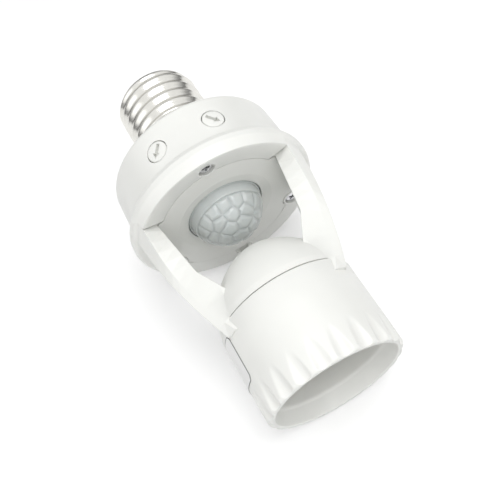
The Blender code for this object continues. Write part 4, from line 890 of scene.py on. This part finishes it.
def build_camera():
    """Camera at the photograph's viewing angle."""
    right, up, back = camera_axes()
    place = CAMERA_AIM - right * CAMERA_SHIFT.x - up * CAMERA_SHIFT.y + back * CAMERA_DISTANCE
    data = bpy.data.cameras.new("camera")
    data.sensor_width = CAMERA_SENSOR
    data.lens = CAMERA_LENS
    data.clip_start = CAMERA_NEAR
    camera = bpy.data.objects.new("camera", data)
    bpy.context.scene.collection.objects.link(camera)
    turn = Matrix((right, up, back)).transposed().to_4x4()
    camera.matrix_world = Matrix.Translation(place) @ turn
    bpy.context.scene.camera = camera


# Light and stage

# Strength of the world as diffuse light; where it is seen or mirrored its strength is 1
FILL_LEVEL = 0.75
# Grey of the world where a direction's Y is above the first limit; it is white below the second
HORIZON_TONE = 0.18
GREY_LIMIT = -0.05
WHITE_LIMIT = -0.45

# Each light's name, direction, distance, size and power in watts
LIGHTS = (
    ("key", (0.2, -1.0, -0.12), 0.6, 0.32, 1.55),
    ("fill", (-0.9, -0.6, -0.3), 0.7, 0.5, 0.45),
    ("low", (0.1, -0.6, -1.0), 0.7, 0.5, 0.35),
)

STAGE_REACH = 1.2
STAGE_TONE = 0.8
FLOOR_GLOW = 0.65
GROUND_GLOW = 0.255
# Where the skirt and the bezel rest on the ground behind the object
SKIRT_REST = Vector((0.0, 19.6 * MM, 0.0))
BEZEL_REST = Vector((0.0, 28.7 * MM, 62.0 * MM))


def one_sided(name, glow_strength, camera_only):
    """Pale ground, seen only from its front and never in the way of light."""
    material, tree, output = empty_material(name)
    facing = tree.nodes.new("ShaderNodeNewGeometry")
    path = tree.nodes.new("ShaderNodeLightPath")
    diffuse = tree.nodes.new("ShaderNodeBsdfDiffuse")
    diffuse.inputs["Color"].default_value = (STAGE_TONE, STAGE_TONE, STAGE_TONE, 1.0)
    seen = combined(tree, "MAXIMUM", path.outputs["Is Camera Ray"], path.outputs["Is Glossy Ray"])
    glow = tree.nodes.new("ShaderNodeEmission")
    tree.links.new(combined(tree, "MULTIPLY", seen, glow_strength), glow.inputs["Strength"])
    lit = tree.nodes.new("ShaderNodeAddShader")
    tree.links.new(diffuse.outputs["BSDF"], lit.inputs[0])
    tree.links.new(glow.outputs["Emission"], lit.inputs[1])
    if camera_only:
        passing = combined(tree, "SUBTRACT", 1.0, path.outputs["Is Camera Ray"])
    else:
        passing = path.outputs["Is Shadow Ray"]
    hidden = combined(tree, "MAXIMUM", facing.outputs["Backfacing"], passing)
    clear = tree.nodes.new("ShaderNodeBsdfTransparent")
    choice = tree.nodes.new("ShaderNodeMixShader")
    tree.links.new(hidden, choice.inputs["Fac"])
    tree.links.new(lit.outputs["Shader"], choice.inputs[1])
    tree.links.new(clear.outputs["BSDF"], choice.inputs[2])
    tree.links.new(choice.outputs["Shader"], output.inputs["Surface"])
    return material


def ground(name, corners, material):
    """Flat stage piece with four corners."""
    mesh = bpy.data.meshes.new(name)
    mesh.from_pydata(corners, [], [tuple(range(len(corners)))])
    mesh.materials.append(material)
    plane = bpy.data.objects.new(name, mesh)
    bpy.context.scene.collection.objects.link(plane)


def build_stage():
    """Floor under the mouth, and the pale ground that the object leans on."""
    reach = STAGE_REACH
    ground("floor", [(-reach, -reach, 0.0), (reach, -reach, 0.0), (reach, reach, 0.0),
                     (-reach, reach, 0.0)], one_sided("pale_floor", FLOOR_GLOW, True))
    slope = (BEZEL_REST - SKIRT_REST).normalized()
    side = Vector((reach, 0.0, 0.0))
    foot = SKIRT_REST - slope * reach
    head = BEZEL_REST + slope * reach
    ground("backdrop", [foot - side, foot + side, head + side, head - side],
           one_sided("pale_ground", GROUND_GLOW, False))


def build_world():
    """White room, grey at the back for all rays but the camera's."""
    world = bpy.data.worlds.new("world")
    world.use_nodes = True
    bpy.context.scene.world = world
    tree = world.node_tree
    tree.nodes.clear()
    output = tree.nodes.new("ShaderNodeOutputWorld")
    room = tree.nodes.new("ShaderNodeBackground")
    path = tree.nodes.new("ShaderNodeLightPath")
    way = tree.nodes.new("ShaderNodeTexCoord")
    split = tree.nodes.new("ShaderNodeSeparateXYZ")
    tree.links.new(way.outputs["Generated"], split.inputs["Vector"])
    shade = ranged(tree, split.outputs["Y"], HORIZON_TONE, 1.0, GREY_LIMIT, WHITE_LIMIT)
    tone = combined(tree, "MAXIMUM", shade, path.outputs["Is Camera Ray"])
    tree.links.new(tone, room.inputs["Color"])
    seen = combined(tree, "MAXIMUM", path.outputs["Is Camera Ray"], path.outputs["Is Transmission Ray"])
    shown = combined(tree, "MAXIMUM", seen, path.outputs["Is Glossy Ray"])
    strength = ranged(tree, shown, FILL_LEVEL, 1.0, 0.0, 1.0)
    tree.links.new(strength, room.inputs["Strength"])
    tree.links.new(room.outputs["Background"], output.inputs["Surface"])


def build_lights():
    """Square soft lights that look at the middle of the object."""
    for name, direction, distance, size, power in LIGHTS:
        data = bpy.data.lights.new(name, "AREA")
        data.energy = power
        data.size = size
        light = bpy.data.objects.new(name, data)
        bpy.context.scene.collection.objects.link(light)
        aim = Vector(direction).normalized()
        light.location = CAMERA_AIM + aim * distance
        light.rotation_euler = aim.to_track_quat("Z", "Y").to_euler()


dress_nodes()
build_cap()
build_solder_drop()
build_socket_thread()
build_skirt()
build_label()
build_lens()
build_yoke()
build_housing()
build_plate()
build_screws()
build_dials()
build_camera()
build_world()
build_lights()
build_stage()
bpy.context.scene.view_settings.view_transform = "Standard"
